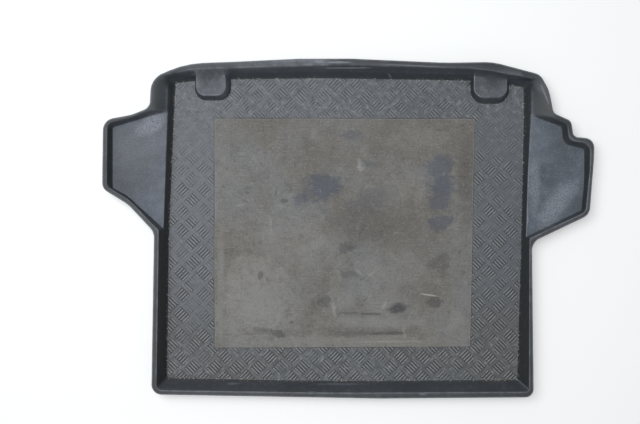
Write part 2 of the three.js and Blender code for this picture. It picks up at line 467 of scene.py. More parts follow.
@dataclass(frozen=True)
class Mat:
    """Sizes of the anti-slip mat, which the tread stops at."""

    cut: Outline = Outline(((-352, -316.5, 2), (324.5, -313.5, 2), (336, 288.5, 2), (-352, 289.5, 2)))
    glue: float = 0.3
    thick: float = 2.0
    tread_gap: tuple[float, float] = (0.3, 0.9)


@dataclass(frozen=True)
class Tread:
    """Groups of five raised bars that lie at right angles to their neighbours."""

    pitch: tuple[float, float] = (58.0, 55.35)
    start: tuple[float, float] = (-467.7, -368.6)
    bars: int = 5
    bar_pitch: float = 7.4
    bar_length: float = 27.0
    bar_width: float = 4.4
    bar_height: float = 1.3
    margin: float = 2.5
    fade: float = 0.6
    least: float = 0.02
    surround: float = 1.4
    loop_shares: tuple[float, float] = (1.03, 0.6)
    columns: range = range(-1, 18)
    rows: range = range(-1, 16)

    def covered(self, at: Rows) -> Rows:
        """Says how much of the tread stands at each point.

        Args:
            at: Points, one to a row.

        Returns:
            Shares from 0 near walls, bosses and mat to 1 on the open floor.
        """
        on_floor = ramp(-Pan().floor.distance(at), self.margin, self.margin + self.fade)
        share = on_floor * ramp(Mat().cut.distance(at), *Mat().tread_gap)
        for boss in BOSSES:
            share = share * ramp(boss.foot.distance(at), self.margin - self.fade, self.margin)
        return share

    def stands(self, at: Rows) -> Rows:
        """Says at which points the tread stands."""
        return self.covered(at) > self.least

    def share(self, at: Rows) -> Rows:
        """Measures how far points lie from the crest of the nearest bar.

        Args:
            at: Points, one to a row.

        Returns:
            Distances as a share of a bar's half width, so that 1 is a bar's edge.
        """
        spine, outermost = self._spine, self._outermost
        nearest = np.full(len(at), np.inf)
        for turned in (0, 1):
            local = self._local(at, turned)
            bar = np.clip(np.round(local[:, 1] / self.bar_pitch), -outermost, outermost)
            across = local[:, 1] - bar * self.bar_pitch
            past_end = np.maximum(np.abs(local[:, 0]) - spine, 0.0)
            nearest = np.minimum(nearest, np.hypot(across, past_end) / (self.bar_width / 2))
        return nearest

    def relief(self, at: Rows) -> Rows:
        """Finds the height of the bars over the floor.

        Args:
            at: Points, one to a row.

        Returns:
            The heights, 0 between the bars.
        """
        height = self.bar_height * np.maximum(1 - self.share(at) ** 2, 0.0)
        raised = height > 0
        height[raised] *= self.covered(at[raised])
        return height

    def lines(self) -> tuple[list[Rows], list[Rows]]:
        """Draws the bars for the mesh.

        Returns:
            Closed lines round each bar, and open lines along their crests.
        """
        closed, crests = [], []
        spine, outermost = self._spine, self._outermost
        half_turn = np.radians(np.linspace(-90, 90, 5))
        cap = np.stack([np.cos(half_turn), np.sin(half_turn)], axis=1)
        half_size = np.array([self.bar_length / 2, outermost * self.bar_pitch + self.bar_width / 2])
        corners = np.array([(-1, -1), (0, -1), (1, -1), (1, 0), (1, 1), (0, 1), (-1, 1), (-1, 0)])
        surround = corners * (half_size + self.surround)
        for centre, turned in self._centres():
            closed.append(self._placed(surround, centre, turned))
            for bar in range(-outermost, outermost + 1):
                middle = np.array([0.0, bar * self.bar_pitch])
                crest = middle + np.array([[-spine, 0.0], [spine, 0.0]])
                for share in self.loop_shares:
                    round_end = cap * self.bar_width / 2 * share
                    loop = np.concatenate([crest[1] + round_end, crest[0] - round_end])
                    closed.append(self._placed(loop, centre, turned))
                crests.append(self._placed(crest, centre, turned))
        return closed, crests

    @property
    def _spine(self) -> float:
        """Half the length of a bar's straight part."""
        return (self.bar_length - self.bar_width) / 2

    @property
    def _outermost(self) -> int:
        """The number of the last bar on each side of a group's middle bar."""
        return (self.bars - 1) // 2

    def _centres(self) -> list[tuple[np.ndarray, int]]:
        """Lists the groups that may reach the floor.

        Returns:
            The middle of each group, and 0 or 1 for its turn.
        """
        places = product(self.rows, self.columns, (0, 1))
        steps = [(column + turned / 2, row + turned / 2) for row, column, turned in places]
        centres = np.array(self.start) + np.array(steps) * np.array(self.pitch)
        on_floor = Pan().floor.distance(centres) < self.bar_length
        off_mat = Mat().cut.distance(centres) > -self.bar_length
        return [(centres[i], i % 2) for i in np.flatnonzero(on_floor & off_mat)]

    @staticmethod
    def _turn(turned: int) -> np.ndarray:
        """Gives the directions along and across the bars, one to a row."""
        slope = 1.0 if turned else -1.0
        return np.array([[1.0, slope], [-slope, 1.0]]) / math.sqrt(2)

    def _placed(self, line: Rows, centre: np.ndarray, turned: int) -> Rows:
        """Moves a line drawn at the origin along X to its group."""
        return line @ self._turn(turned) + centre

    def _local(self, at: Rows, turned: int) -> Rows:
        """Gives each point's place along and across the bars of its nearest group.

        Args:
            at: Points, one to a row.
            turned: Which of the two turns the group has.

        Returns:
            The places, one to a row.
        """
        pitch = np.array(self.pitch)
        gap = at - np.array(self.start) - turned * pitch / 2
        gap = gap - np.round(gap / pitch) * pitch
        return gap @ self._turn(turned).T


class PlanMesh:
    """Collects lines seen from above and fills the ground between them with triangles."""

    def __init__(self, border: Rows, keep_inside: Outline) -> None:
        """Starts with the border, whose points keep their order.

        Args:
            border: The closed line that bounds the mesh.
            keep_inside: Outline that every other line has to stay inside.
        """
        self._points: list[Rows] = [border]
        self._edges: list[tuple[int, int]] = self._chain(0, len(border), closed=True)
        self._count = len(border)
        self._border = self._count
        self._keep_inside = keep_inside

    @staticmethod
    def _chain(first: int, count: int, closed: bool) -> list[tuple[int, int]]:
        """Joins neighbouring points of one line."""
        joined = [(first + i, first + i + 1) for i in range(count - 1)]
        return joined + [(first + count - 1, first)] if closed else joined

    def add(self, lines: list[Rows], closed: bool, wanted: Callable[[Rows], Rows] | None = None) -> None:
        """Adds the wanted stretches of lines, with one point more at both ends of each.

        Args:
            lines: Points of each line.
            closed: Whether their ends join their starts.
            wanted: Says which points are needed, or None where all of them are.
        """
        spots = np.concatenate(lines)
        inside = self._keep_inside.distance(spots) < 0
        shows = wanted(spots) if wanted else np.ones(len(spots), dtype=bool)
        ends = np.cumsum([len(line) for line in lines])[:-1]
        for line, within, shown in zip(lines, np.split(inside, ends), np.split(shows, ends)):
            self._add_line(line, closed, within & (shown | np.roll(shown, 1) | np.roll(shown, -1)))

    def _add_line(self, line: Rows, closed: bool, keep: Rows) -> None:
        """Adds the stretches of one line whose points are kept.

        Args:
            line: Points of the line.
            closed: Whether its end joins its start.
            keep: Says which points are kept.
        """
        if keep.all():
            self._points.append(line)
            self._edges += self._chain(self._count, len(line), closed)
            self._count += len(line)
            return
        where = {int(i): self._count + number for number, i in enumerate(np.flatnonzero(keep))}
        if not where:
            return
        self._points.append(line[keep])
        last = len(line) if closed else len(line) - 1
        for i in range(last):
            j = (i + 1) % len(line)
            if i in where and j in where:
                self._edges.append((where[i], where[j]))
        self._count += len(where)

    def add_points(self, spots: Rows) -> None:
        """Adds the loose points that lie inside.

        Args:
            spots: The points.
        """
        inside = spots[self._keep_inside.distance(spots) < 0]
        self._points.append(inside)
        self._count += len(inside)

    def filled(self) -> tuple[Rows, Rows, Rows]:
        """Fills the border with triangles that keep to the lines.

        Returns:
            The points, the triangles anticlockwise, and the border's points in their order.
        """
        flat = [Vector(point) for point in np.concatenate(self._points)]
        made = delaunay_2d_cdt(flat, self._edges, [], 1, 0.01)
        points = np.array([tuple(point) for point in made[0]])
        triangles = np.array(made[2])
        border = np.full(self._border, -1)
        for index, sources in enumerate(made[3]):
            for source in sources:
                if source < self._border:
                    border[source] = index
        a, b, c = (points[triangles[:, k]] for k in range(3))
        area = (b[:, 0] - a[:, 0]) * (c[:, 1] - a[:, 1]) - (b[:, 1] - a[:, 1]) * (c[:, 0] - a[:, 0])
        triangles[area < 0] = triangles[area < 0][:, ::-1]
        return points, triangles[np.abs(area) > 1e-7], border


@dataclass(frozen=True)
class Rim:
    """The flange round the tray, whose outer edge is rolled down."""

    edge: Outline = Outline((
        (-509.5, -430, 26), (82, -440.6, 900), (480, -437.5, 22), (475.5, -36, 34), (624.5, 35, 32),
        (636.8, 190, 300), (636.2, 231.5, 36), (583, 237, 14), (577, 278, 18), (532, 298, 20),
        (520, 358, 90), (497, 398, 34), (374, 430.5, 150), (250, 428.5, 500), (-60, 442.1, 1500),
        (-293, 431, 500), (-422, 426, 240), (-510.5, 388, 50), (-514, 313, 24), (-561, 293.5, 120),
        (-634.5, 280.5, 32), (-636.8, 103, 26), (-570, 62, 90), (-502.5, -10, 36),
    ))
    roll: float = 4.5
    drop: float = 7.0
    chamfer: float = 0.3
    over_degrees: tuple[float, ...] = (18, 36, 54, 72, 90)
    under_degrees: tuple[float, ...] = (90, 70, 45, 20)

    def profile(self) -> list[tuple[float, float, float, float]]:
        """Draws the rolled edge from the flange's top, round the lip, to its underside.

        Returns:
            For each row, how far out and how far down it lies, and its normal outwards and upwards.
        """
        inner = self.roll - SHEET
        rows = []
        for turn in np.radians(self.over_degrees):
            side, top = math.sin(turn), math.cos(turn)
            rows.append((self.roll * side, self.roll * (1 - top), side, top))
        rows += [
            (self.roll, self.drop - self.chamfer, 1.0, -0.1),
            (self.roll - self.chamfer, self.drop, 0.3, -1.0),
            (inner + self.chamfer, self.drop, -0.3, -1.0),
            (inner, self.drop - self.chamfer, -1.0, -0.1),
        ]
        for turn in np.radians(self.under_degrees):
            side, top = math.sin(turn), math.cos(turn)
            rows.append((inner * side, SHEET + inner * (1 - top), -side, -top))
        return rows


@dataclass
class Skin:
    """One side of the tray's sheet, as triangles with a normal and surface marks at each point."""

    points: Rows
    normals: Rows
    triangles: Rows
    marks: dict[str, Rows]


class PieceMaker:
    """Turns arrays of points and triangles into a Blender piece."""

    @staticmethod
    def made(name: str, skin: Skin, material: bpy.types.Material) -> bpy.types.Object:
        """Makes the piece, with smooth shading from the given normals.

        Args:
            name: Name of the piece.
            skin: Its points in millimetres, triangles and marks.
            material: Its finish.

        Returns:
            The object, placed at the origin.
        """
        mesh = bpy.data.meshes.new(name)
        mesh.from_pydata((skin.points * MM).tolist(), [], skin.triangles.tolist())
        mesh.polygons.foreach_set("use_smooth", [True] * len(mesh.polygons))
        for mark, values in skin.marks.items():
            layer = mesh.attributes.new(mark, "FLOAT", "POINT")
            layer.data.foreach_set("value", np.ascontiguousarray(values, dtype=np.float32))
        mesh.update()
        mesh.normals_split_custom_set_from_vertices(skin.normals.tolist())
        mesh.materials.append(material)
        piece = bpy.data.objects.new(name, mesh)
        bpy.context.scene.collection.objects.link(piece)
        LOG.info("%s: %d points, %d triangles", name, len(skin.points), len(skin.triangles))
        return piece


@dataclass
class LinerTray:
    """The formed plastic tray: pan, two side shelves, two bosses, rim and tread."""

    pan: Pan = Pan()
    left_shelf: SideShelf = LEFT_SHELF
    right_shelf: SideShelf = RIGHT_SHELF
    bosses: tuple[Boss, ...] = BOSSES
    tread: Tread = Tread()
    rim: Rim = Rim()
    mat: Mat = Mat()
    join_blend: float = 4.0
    probe: float = 0.04
    crown_probe: float = 2.0
    dust_on_steps: tuple[Station, ...] = (
        (-625, 0.42), (-560, 0.58), (-470, 0.6), (-440, 0.7), (-5, 0.7), (5, 0.5), (440, 0.5),
        (470, 0.72),
    )
    dust_by_tailgate: tuple[Station, ...] = (
        (-520, 0.15), (-440, 0.22), (-330, 0.28), (-230, 0.4), (-170, 0.58), (-80, 0.58), (-25, 0.3),
        (0, 0.16), (380, 0.05), (450, 0.13), (640, 0.15),
    )
    dust_on_rim: tuple[Station, ...] = (
        (-640, 0.04), (-480, 0.14), (-400, 0.25), (440, 0.14), (480, 0.1), (640, 0.14),
    )
    dust_on_slope: float = 0.13
    # A pale film on walls that face the ends: painted light, drawn as dust.
    end_wall_light_as_dust: float = 0.27
    dust_on_bosses: tuple[float, float] = (0.7, 0.6)
    dust_on_lip: float = 0.45
    # Edge wear with painted highlight round the rolled lip.
    wear_and_highlight_on_lip: float = 0.6
    # A darker strip along the left wall's foot: painted shade, drawn as thinner dust.
    wall_foot_shade_share: float = 0.45
    wall_foot_shade_width: float = 13.0
    # How dark the band beside the mat is, at its left and tailgate sides and elsewhere.
    dark_beside_mat: tuple[float, float] = (1.0, 0.45)
    # Edge wear with painted highlights on crests: the bend that gives the full amount, and its strength by
    # region.
    full_wear_and_highlight: float = 0.9
    wear_and_highlight_below_and_on_rim: tuple[float, float] = (0.9, 0.75)
    wear_and_highlight_on_shoulders: float = 0.2
    wear_and_highlight_at_left_end: float = 0.45
    grain_on_bosses: float = 0.5
    level_band: tuple[float, float] = (0.55, 0.97)
    worn_and_lit_band: tuple[float, float] = (0.4, 0.75)
    soft_band: tuple[float, float] = (5.0, 8.0)
    floor_band: tuple[float, float] = (4.5, 9.0)
    grain_band: tuple[float, float] = (6.0, 20.0)
    step_bands: tuple[float, ...] = (27.0, 29.3, 30.6, 33.0)
    slope_band: tuple[float, float] = (31.0, 35.0)
    rim_band: tuple[float, float] = (46.0, 51.5)
    foot_width: float = 9.0
    plain_floor: tuple[float, ...] = (-440.0, 430.0, -375.0, 310.0)
    clear_of_walls: float = 12.0
    clear_of_bosses: float = 6.0
    shoulders: tuple[tuple[int, ...], ...] = ((-512, -455, 285, 425), (455, 590, 255, 425))
    shoulder_step: float = 5.0
    border_step: float = 12.0
    border_gap: float = 1.2
    mat_rings: tuple[float, ...] = (0.3, 0.9, 2.0, 3.4)
    mat_step: float = 3.0
    shows_within: float = 6.0

    def open_height(self, at: Rows) -> tuple[Rows, Rows]:
        """Finds the lowest of the pan and the shelves, with their walls carried on above the rim.

        Args:
            at: Points, one to a row.

        Returns:
            The heights, and how far the rounding of the crest reaches.
        """
        lowest, crest = self.pan.open_height(at)
        for shelf in (self.left_shelf, self.right_shelf):
            lowest = smooth_min(lowest, shelf.open_height(at), self.join_blend)
        return lowest, crest

    def bare_height(self, at: Rows) -> Rows:
        """Finds the height of the tray's upper side without the tread.

        Args:
            at: Points, one to a row.

        Returns:
            The heights there.
        """
        height = np.full(len(at), FLOOR_Z)
        shaped = ~self._on_floor(at)
        near = at[shaped]
        opened, crest = self.open_height(near)
        rising = smooth_min(opened, RIM_Z, crest)
        for boss in self.bosses:
            join = self.join_blend + (boss.join - self.join_blend) * ramp(rising, 8.0, 22.0)
            rising = smooth_max(rising, boss.height(near), join)
        height[shaped] = rising
        return height

    def _on_floor(self, at: Rows) -> Rows:
        """Says which points lie on the flat floor, clear of walls and bosses.

        Args:
            at: Points, one to a row.

        Returns:
            True for each point that does.
        """
        left, right, low, high = self.plain_floor
        flat = ((at > np.array([left, low])) & (at < np.array([right, high]))).all(axis=1)
        rest = at[~flat]
        clear = self.pan.floor.distance(rest) < -self.clear_of_walls
        for boss in self.bosses:
            clear[clear] = boss.foot.distance(rest[clear]) > self.clear_of_bosses
        flat[~flat] = clear
        return flat

    def top_height(self, at: Rows) -> Rows:
        """Finds the height of the tray's upper side with its tread."""
        return self.bare_height(at) + self.tread.relief(at)

    def build(self, material: bpy.types.Material) -> bpy.types.Object:
        """Builds the tray as one closed sheet.

        Args:
            material: The tray's finish.

        Returns:
            The piece.
        """
        top, top_border = self._side(with_tread=True)
        under, under_border = self._side(with_tread=False)
        under.points = under.points - under.normals * SHEET
        under.normals = -under.normals
        under.triangles = under.triangles[:, ::-1] + len(top.points)
        under.marks = {mark: np.zeros(len(under.points)) for mark in under.marks}
        above, below = len(top.points), len(under.points)
        parts = (top, under, self._lip(top, top_border, under_border + above, above + below))
        whole = Skin(
            points=np.concatenate([part.points for part in parts]),
            normals=np.concatenate([part.normals for part in parts]),
            triangles=np.concatenate([part.triangles for part in parts]),
            marks={mark: np.concatenate([part.marks[mark] for part in parts]) for mark in top.marks},
        )
        return PieceMaker.made("liner_tray_shell", whole, material)

    def _side(self, with_tread: bool) -> tuple[Skin, Rows]:
        """Meshes the tray's upper side.

        Args:
            with_tread: Whether the bars stand on the floor.

        Returns:
            The side, and the places of its border's points in their order.
        """
        edge = self.rim.edge.offset(-self.rim.roll)
        keep_inside = self.rim.edge.offset(-self.rim.roll - self.border_gap)
        plan = PlanMesh(edge.points(self.border_step), keep_inside)
        plan.add(self.pan.lines(), True, self._pan_shows)
        for shelf in (self.left_shelf, self.right_shelf):
            plan.add(shelf.lines(), True, partial(self._shelf_shows, shelf))
        for boss in self.bosses:
            plan.add(boss.lines(), True, partial(self._boss_shows, boss))
        plan.add_points(self._shoulder_points())
        if with_tread:
            plan.add(rings(self.mat.cut, self.mat_rings, self.mat_step), True)
            loops, crests = self.tread.lines()
            plan.add(loops, True, self.tread.stands)
            plan.add(crests, False, self.tread.stands)
        flat, triangles, border = plan.filled()
        height = self.top_height if with_tread else self.bare_height
        points = np.column_stack([flat, height(flat)])
        normals = self._normals(flat, height)
        return Skin(points, normals, triangles, self._marks(points, normals)), border

    def _pan_shows(self, line: Rows) -> Rows:
        """Says where the pan's own surface is the one that shows.

        Args:
            line: Points of a line of the pan.

        Returns:
            True for each point that is needed.
        """
        own = self.pan.open_height(line)[0]
        shelves = np.minimum(self.left_shelf.open_height(line), self.right_shelf.open_height(line))
        bosses = np.maximum.reduce([boss.height(line) for boss in self.bosses])
        return (shelves > own - self.shows_within) & ((bosses < own + self.shows_within) | (own > BOSS_Z))

    def _shelf_shows(self, shelf: SideShelf, line: Rows) -> Rows:
        """Says where a shelf's own surface is the one that shows."""
        return self.pan.open_height(line)[0] > shelf.open_height(line) - self.shows_within

    def _boss_shows(self, boss: Boss, line: Rows) -> Rows:
        """Says where a boss's own surface is the one that shows."""
        return boss.height(line) > self.open_height(line)[0] - self.shows_within

    def _shoulder_points(self) -> Rows:
        """Scatters points over the softly rounded shoulders, where no line runs.

        Returns:
            The points, one to a row.
        """
        patches = []
        for left, right, low, high in self.shoulders:
            columns = np.arange(left, right, self.shoulder_step)
            across, up = np.meshgrid(columns, np.arange(low, high, self.shoulder_step))
            across[1::2] += self.shoulder_step / 2
            patches.append(np.column_stack([across.ravel(), up.ravel()]))
        spots = np.concatenate(patches)
        opened, _ = self.open_height(spots)
        return spots[opened > SHELF_Z + 3]

    def _normals(self, flat: Rows, height: Callable[[Rows], Rows]) -> Rows:
        """Measures the surface's normals from heights close by.

        Args:
            flat: Points seen from above, one to a row.
            height: Gives the surface's heights at such points.

        Returns:
            Unit normals, one to a row.
        """
        step_x, step_y = np.array([self.probe, 0.0]), np.array([0.0, self.probe])
        slope_x = (height(flat + step_x) - height(flat - step_x)) / (2 * self.probe)
        slope_y = (height(flat + step_y) - height(flat - step_y)) / (2 * self.probe)
        normals = np.column_stack([-slope_x, -slope_y, np.ones(len(flat))])
        return normals / np.linalg.norm(normals, axis=1, keepdims=True)

    def _marks(self, points: Rows, normals: Rows) -> dict[str, Rows]:
        """Says where dust lies, edges wear and carry painted highlights, bars stand, grooves hold dirt and
        painted shade, the band beside the mat darkens, grit gathers and grain shows.

        Args:
            points: Points on the tray's upper side.
            normals: The surface's unit normals there.

        Returns:
            The marks by name, each with a share for every point.
        """
        flat, height = points[:, :2], points[:, 2]
        share, covered = self.tread.share(flat), self.tread.covered(flat)
        lying = np.maximum(ramp(normals[:, 2], *self.level_band), covered * (share < 1.2))
        past_bar = (share - 1) * self.tread.bar_width
        # Painted shade with dirt round the bars' feet.
        groove_dirt_and_shade = np.where(share >= 1, np.clip(1.1 - past_bar / 2.6, 0, 1), 0.0)
        to_boss = np.minimum(*[boss.foot.distance(flat) for boss in self.bosses])
        foot = np.minimum(-self.pan.floor.distance(flat), to_boss)
        on_boss = np.minimum(*[boss.top.distance(flat) for boss in self.bosses]) < 0
        return {
            "dust": self._dust(points, lying, np.abs(normals[:, 1])),
            "edge_wear_and_highlight": self._edge_wear_and_highlight(flat, height, normals[:, 2]),
            "bars": np.maximum(1 - share**2, 0.0) * covered,
            "groove_dirt_and_shade": groove_dirt_and_shade * covered,
            "seam": self._seam(flat),
            "grain": ramp(height, *self.grain_band) * np.where(on_boss, self.grain_on_bosses, 1.0),
            "foot": (1 - ramp(np.abs(foot), 0.0, self.foot_width)) * (height < 8),
        }

    def _edge_wear_and_highlight(self, flat: Rows, height: Rows, level: Rows) -> Rows:
        """Says how far crests are worn and lit, as painted highlight, from how sharply the surface bends
        there.

        Args:
            flat: Points seen from above, one to a row.
            height: Heights of the tray's upper side there.
            level: Upward parts of its unit normals.

        Returns:
            Shares between 0 and 1.
        """
        opened, crest = self.open_height(flat)
        steps = np.array([(1, 0), (-1, 0), (0, 1), (0, -1)]) * self.crown_probe
        around = [self.bare_height(flat + step) for step in steps]
        crown = (4 * self.bare_height(flat) - sum(around)) / self.crown_probe**2
        soft_crest = np.exp(-(((opened - RIM_Z) / 4.5) ** 2)) * ramp(crest, *self.soft_band)
        x, y = flat.T
        rubbed_and_sheen = np.where(height < 40, *self.wear_and_highlight_below_and_on_rim)
        on_shoulder = (np.abs(x) > 440) & (y > self.pan.shoulder_starts) & (height > SHELF_Z + 1)
        rubbed_and_sheen[on_shoulder] *= self.wear_and_highlight_on_shoulders
        rubbed_and_sheen[x < -560] *= self.wear_and_highlight_at_left_end
        worn_and_lit = np.clip(np.maximum(crown / self.full_wear_and_highlight, 0.8 * soft_crest), 0.0, 1.0)
        return worn_and_lit * rubbed_and_sheen * ramp(level, *self.worn_and_lit_band)

    def _dust(self, points: Rows, lying: Rows, towards_ends: Rows) -> Rows:
        """Says how thick dust lies: thick on the floor, uneven on the rim, thin on the walls, thinner along
        the left wall's foot as painted shade, and thicker on walls that face the ends as painted light.

        Args:
            points: Points on the tray's upper side.
            lying: How level the surface is, from 0 where it is steep to 1.
            towards_ends: How far it faces the tailgate or the seats.

        Returns:
            Shares between 0 and 1.
        """
        x, y, z = points.T
        from_wall = -self.pan.floor.distance(points[:, :2])
        # Painted shade: the dust thins, and the floor darkens, along the foot of the left wall.
        wall_foot_shade = (1 - ramp(from_wall, 0.0, self.wall_foot_shade_width)) * (x < -400) * (y < 300)
        on_floor = (1 - ramp(z, *self.floor_band)) * (1 - self.wall_foot_shade_share * wall_foot_shade)
        on_step = ramp(z, *self.step_bands[:2]) - ramp(z, *self.step_bands[2:])
        on_rim = ramp(z, *self.rim_band)
        on_slope = ramp(z, *self.slope_band) * (1 - on_rim)
        step = np.interp(x, *np.array(self.dust_on_steps).T)
        by_tailgate = np.interp(x, *np.array(self.dust_by_tailgate).T)
        rim = np.where(y > 330, by_tailgate, np.interp(x, *np.array(self.dust_on_rim).T))
        level = on_floor + on_step * step + on_rim * rim + on_slope * self.dust_on_slope
        # Walls that face the ends get a pale film: painted light, drawn as dust.
        dust = level * lying + self.end_wall_light_as_dust * (1 - lying) * towards_ends
        for boss, share in zip(self.bosses, self.dust_on_bosses):
            side = ramp(-boss.foot.distance(points[:, :2]), 1.0, 6.0) * (1 - on_rim)
            dust = np.maximum(dust, side * step * share)
        return dust

    def _seam(self, flat: Rows) -> Rows:
        """Says where the band beside the mat is darkened, most of it at its left and tailgate sides.

        Args:
            flat: Points seen from above, one to a row.

        Returns:
            Shares between 0 and 1.
        """
        gap = self.mat.cut.distance(flat)
        side = np.where((flat[:, 0] < -350) | (flat[:, 1] > 288), *self.dark_beside_mat)
        return (1 - ramp(gap, self.mat.tread_gap[1], self.mat_rings[-1])) * (gap > 0) * side

    def _lip(self, top: Skin, border: Rows, under: Rows, first: int) -> Skin:
        """Rolls the rim's edge from the upper side's border to the underside's.

        Args:
            top: The upper side.
            border: Places of its border's points.
            under: Places of the underside's border points in the whole piece.
            first: Place of the lip's first point in the whole piece.

        Returns:
            The lip.
        """
        start = top.points[border]
        ahead = np.roll(start[:, :2], -1, axis=0) - start[:, :2]
        ahead /= np.linalg.norm(ahead, axis=1, keepdims=True)
        along = ahead + np.roll(ahead, 1, axis=0)
        along /= np.linalg.norm(along, axis=1, keepdims=True)
        outward = np.column_stack([along[:, 1], -along[:, 0]])
        outward /= np.einsum("ij,ij->i", outward, np.column_stack([ahead[:, 1], -ahead[:, 0]]))[:, None]
        points, normals, triangles, upward = [], [], [], []
        rows = [border]
        for number, (out, down, side, rise) in enumerate(self.rim.profile()):
            depth = down * (start[:, 2] - (RIM_Z - self.rim.drop)) / self.rim.drop
            points.append(np.column_stack([start[:, :2] + outward * out, start[:, 2] - depth]))
            normal = np.column_stack([outward * side, np.full(len(start), rise)])
            normals.append(normal / np.linalg.norm(normal, axis=1, keepdims=True))
            upward.append(np.full(len(start), rise if side > 0 else -1.0))
            rows.append(first + number * len(start) + np.arange(len(start)))
        rows.append(under)
        for here, after in zip(rows, rows[1:]):
            here_next, after_next = np.roll(here, -1), np.roll(after, -1)
            triangles.append(np.column_stack([here, after, after_next]))
            triangles.append(np.column_stack([here, after_next, here_next]))
        tilt = np.concatenate(upward)
        marks = {mark: np.zeros(len(tilt)) for mark in top.marks}
        marks["dust"] = self.dust_on_lip * np.clip(tilt, 0, 1) ** 2
        # Edge wear with painted highlight round the rolled lip.
        marks["edge_wear_and_highlight"] = np.exp(-(((tilt - 0.75) / 0.3) ** 2)) * self.wear_and_highlight_on_lip
        marks["grain"] = np.ones(len(tilt))
        return Skin(np.concatenate(points), np.concatenate(normals), np.concatenate(triangles), marks)


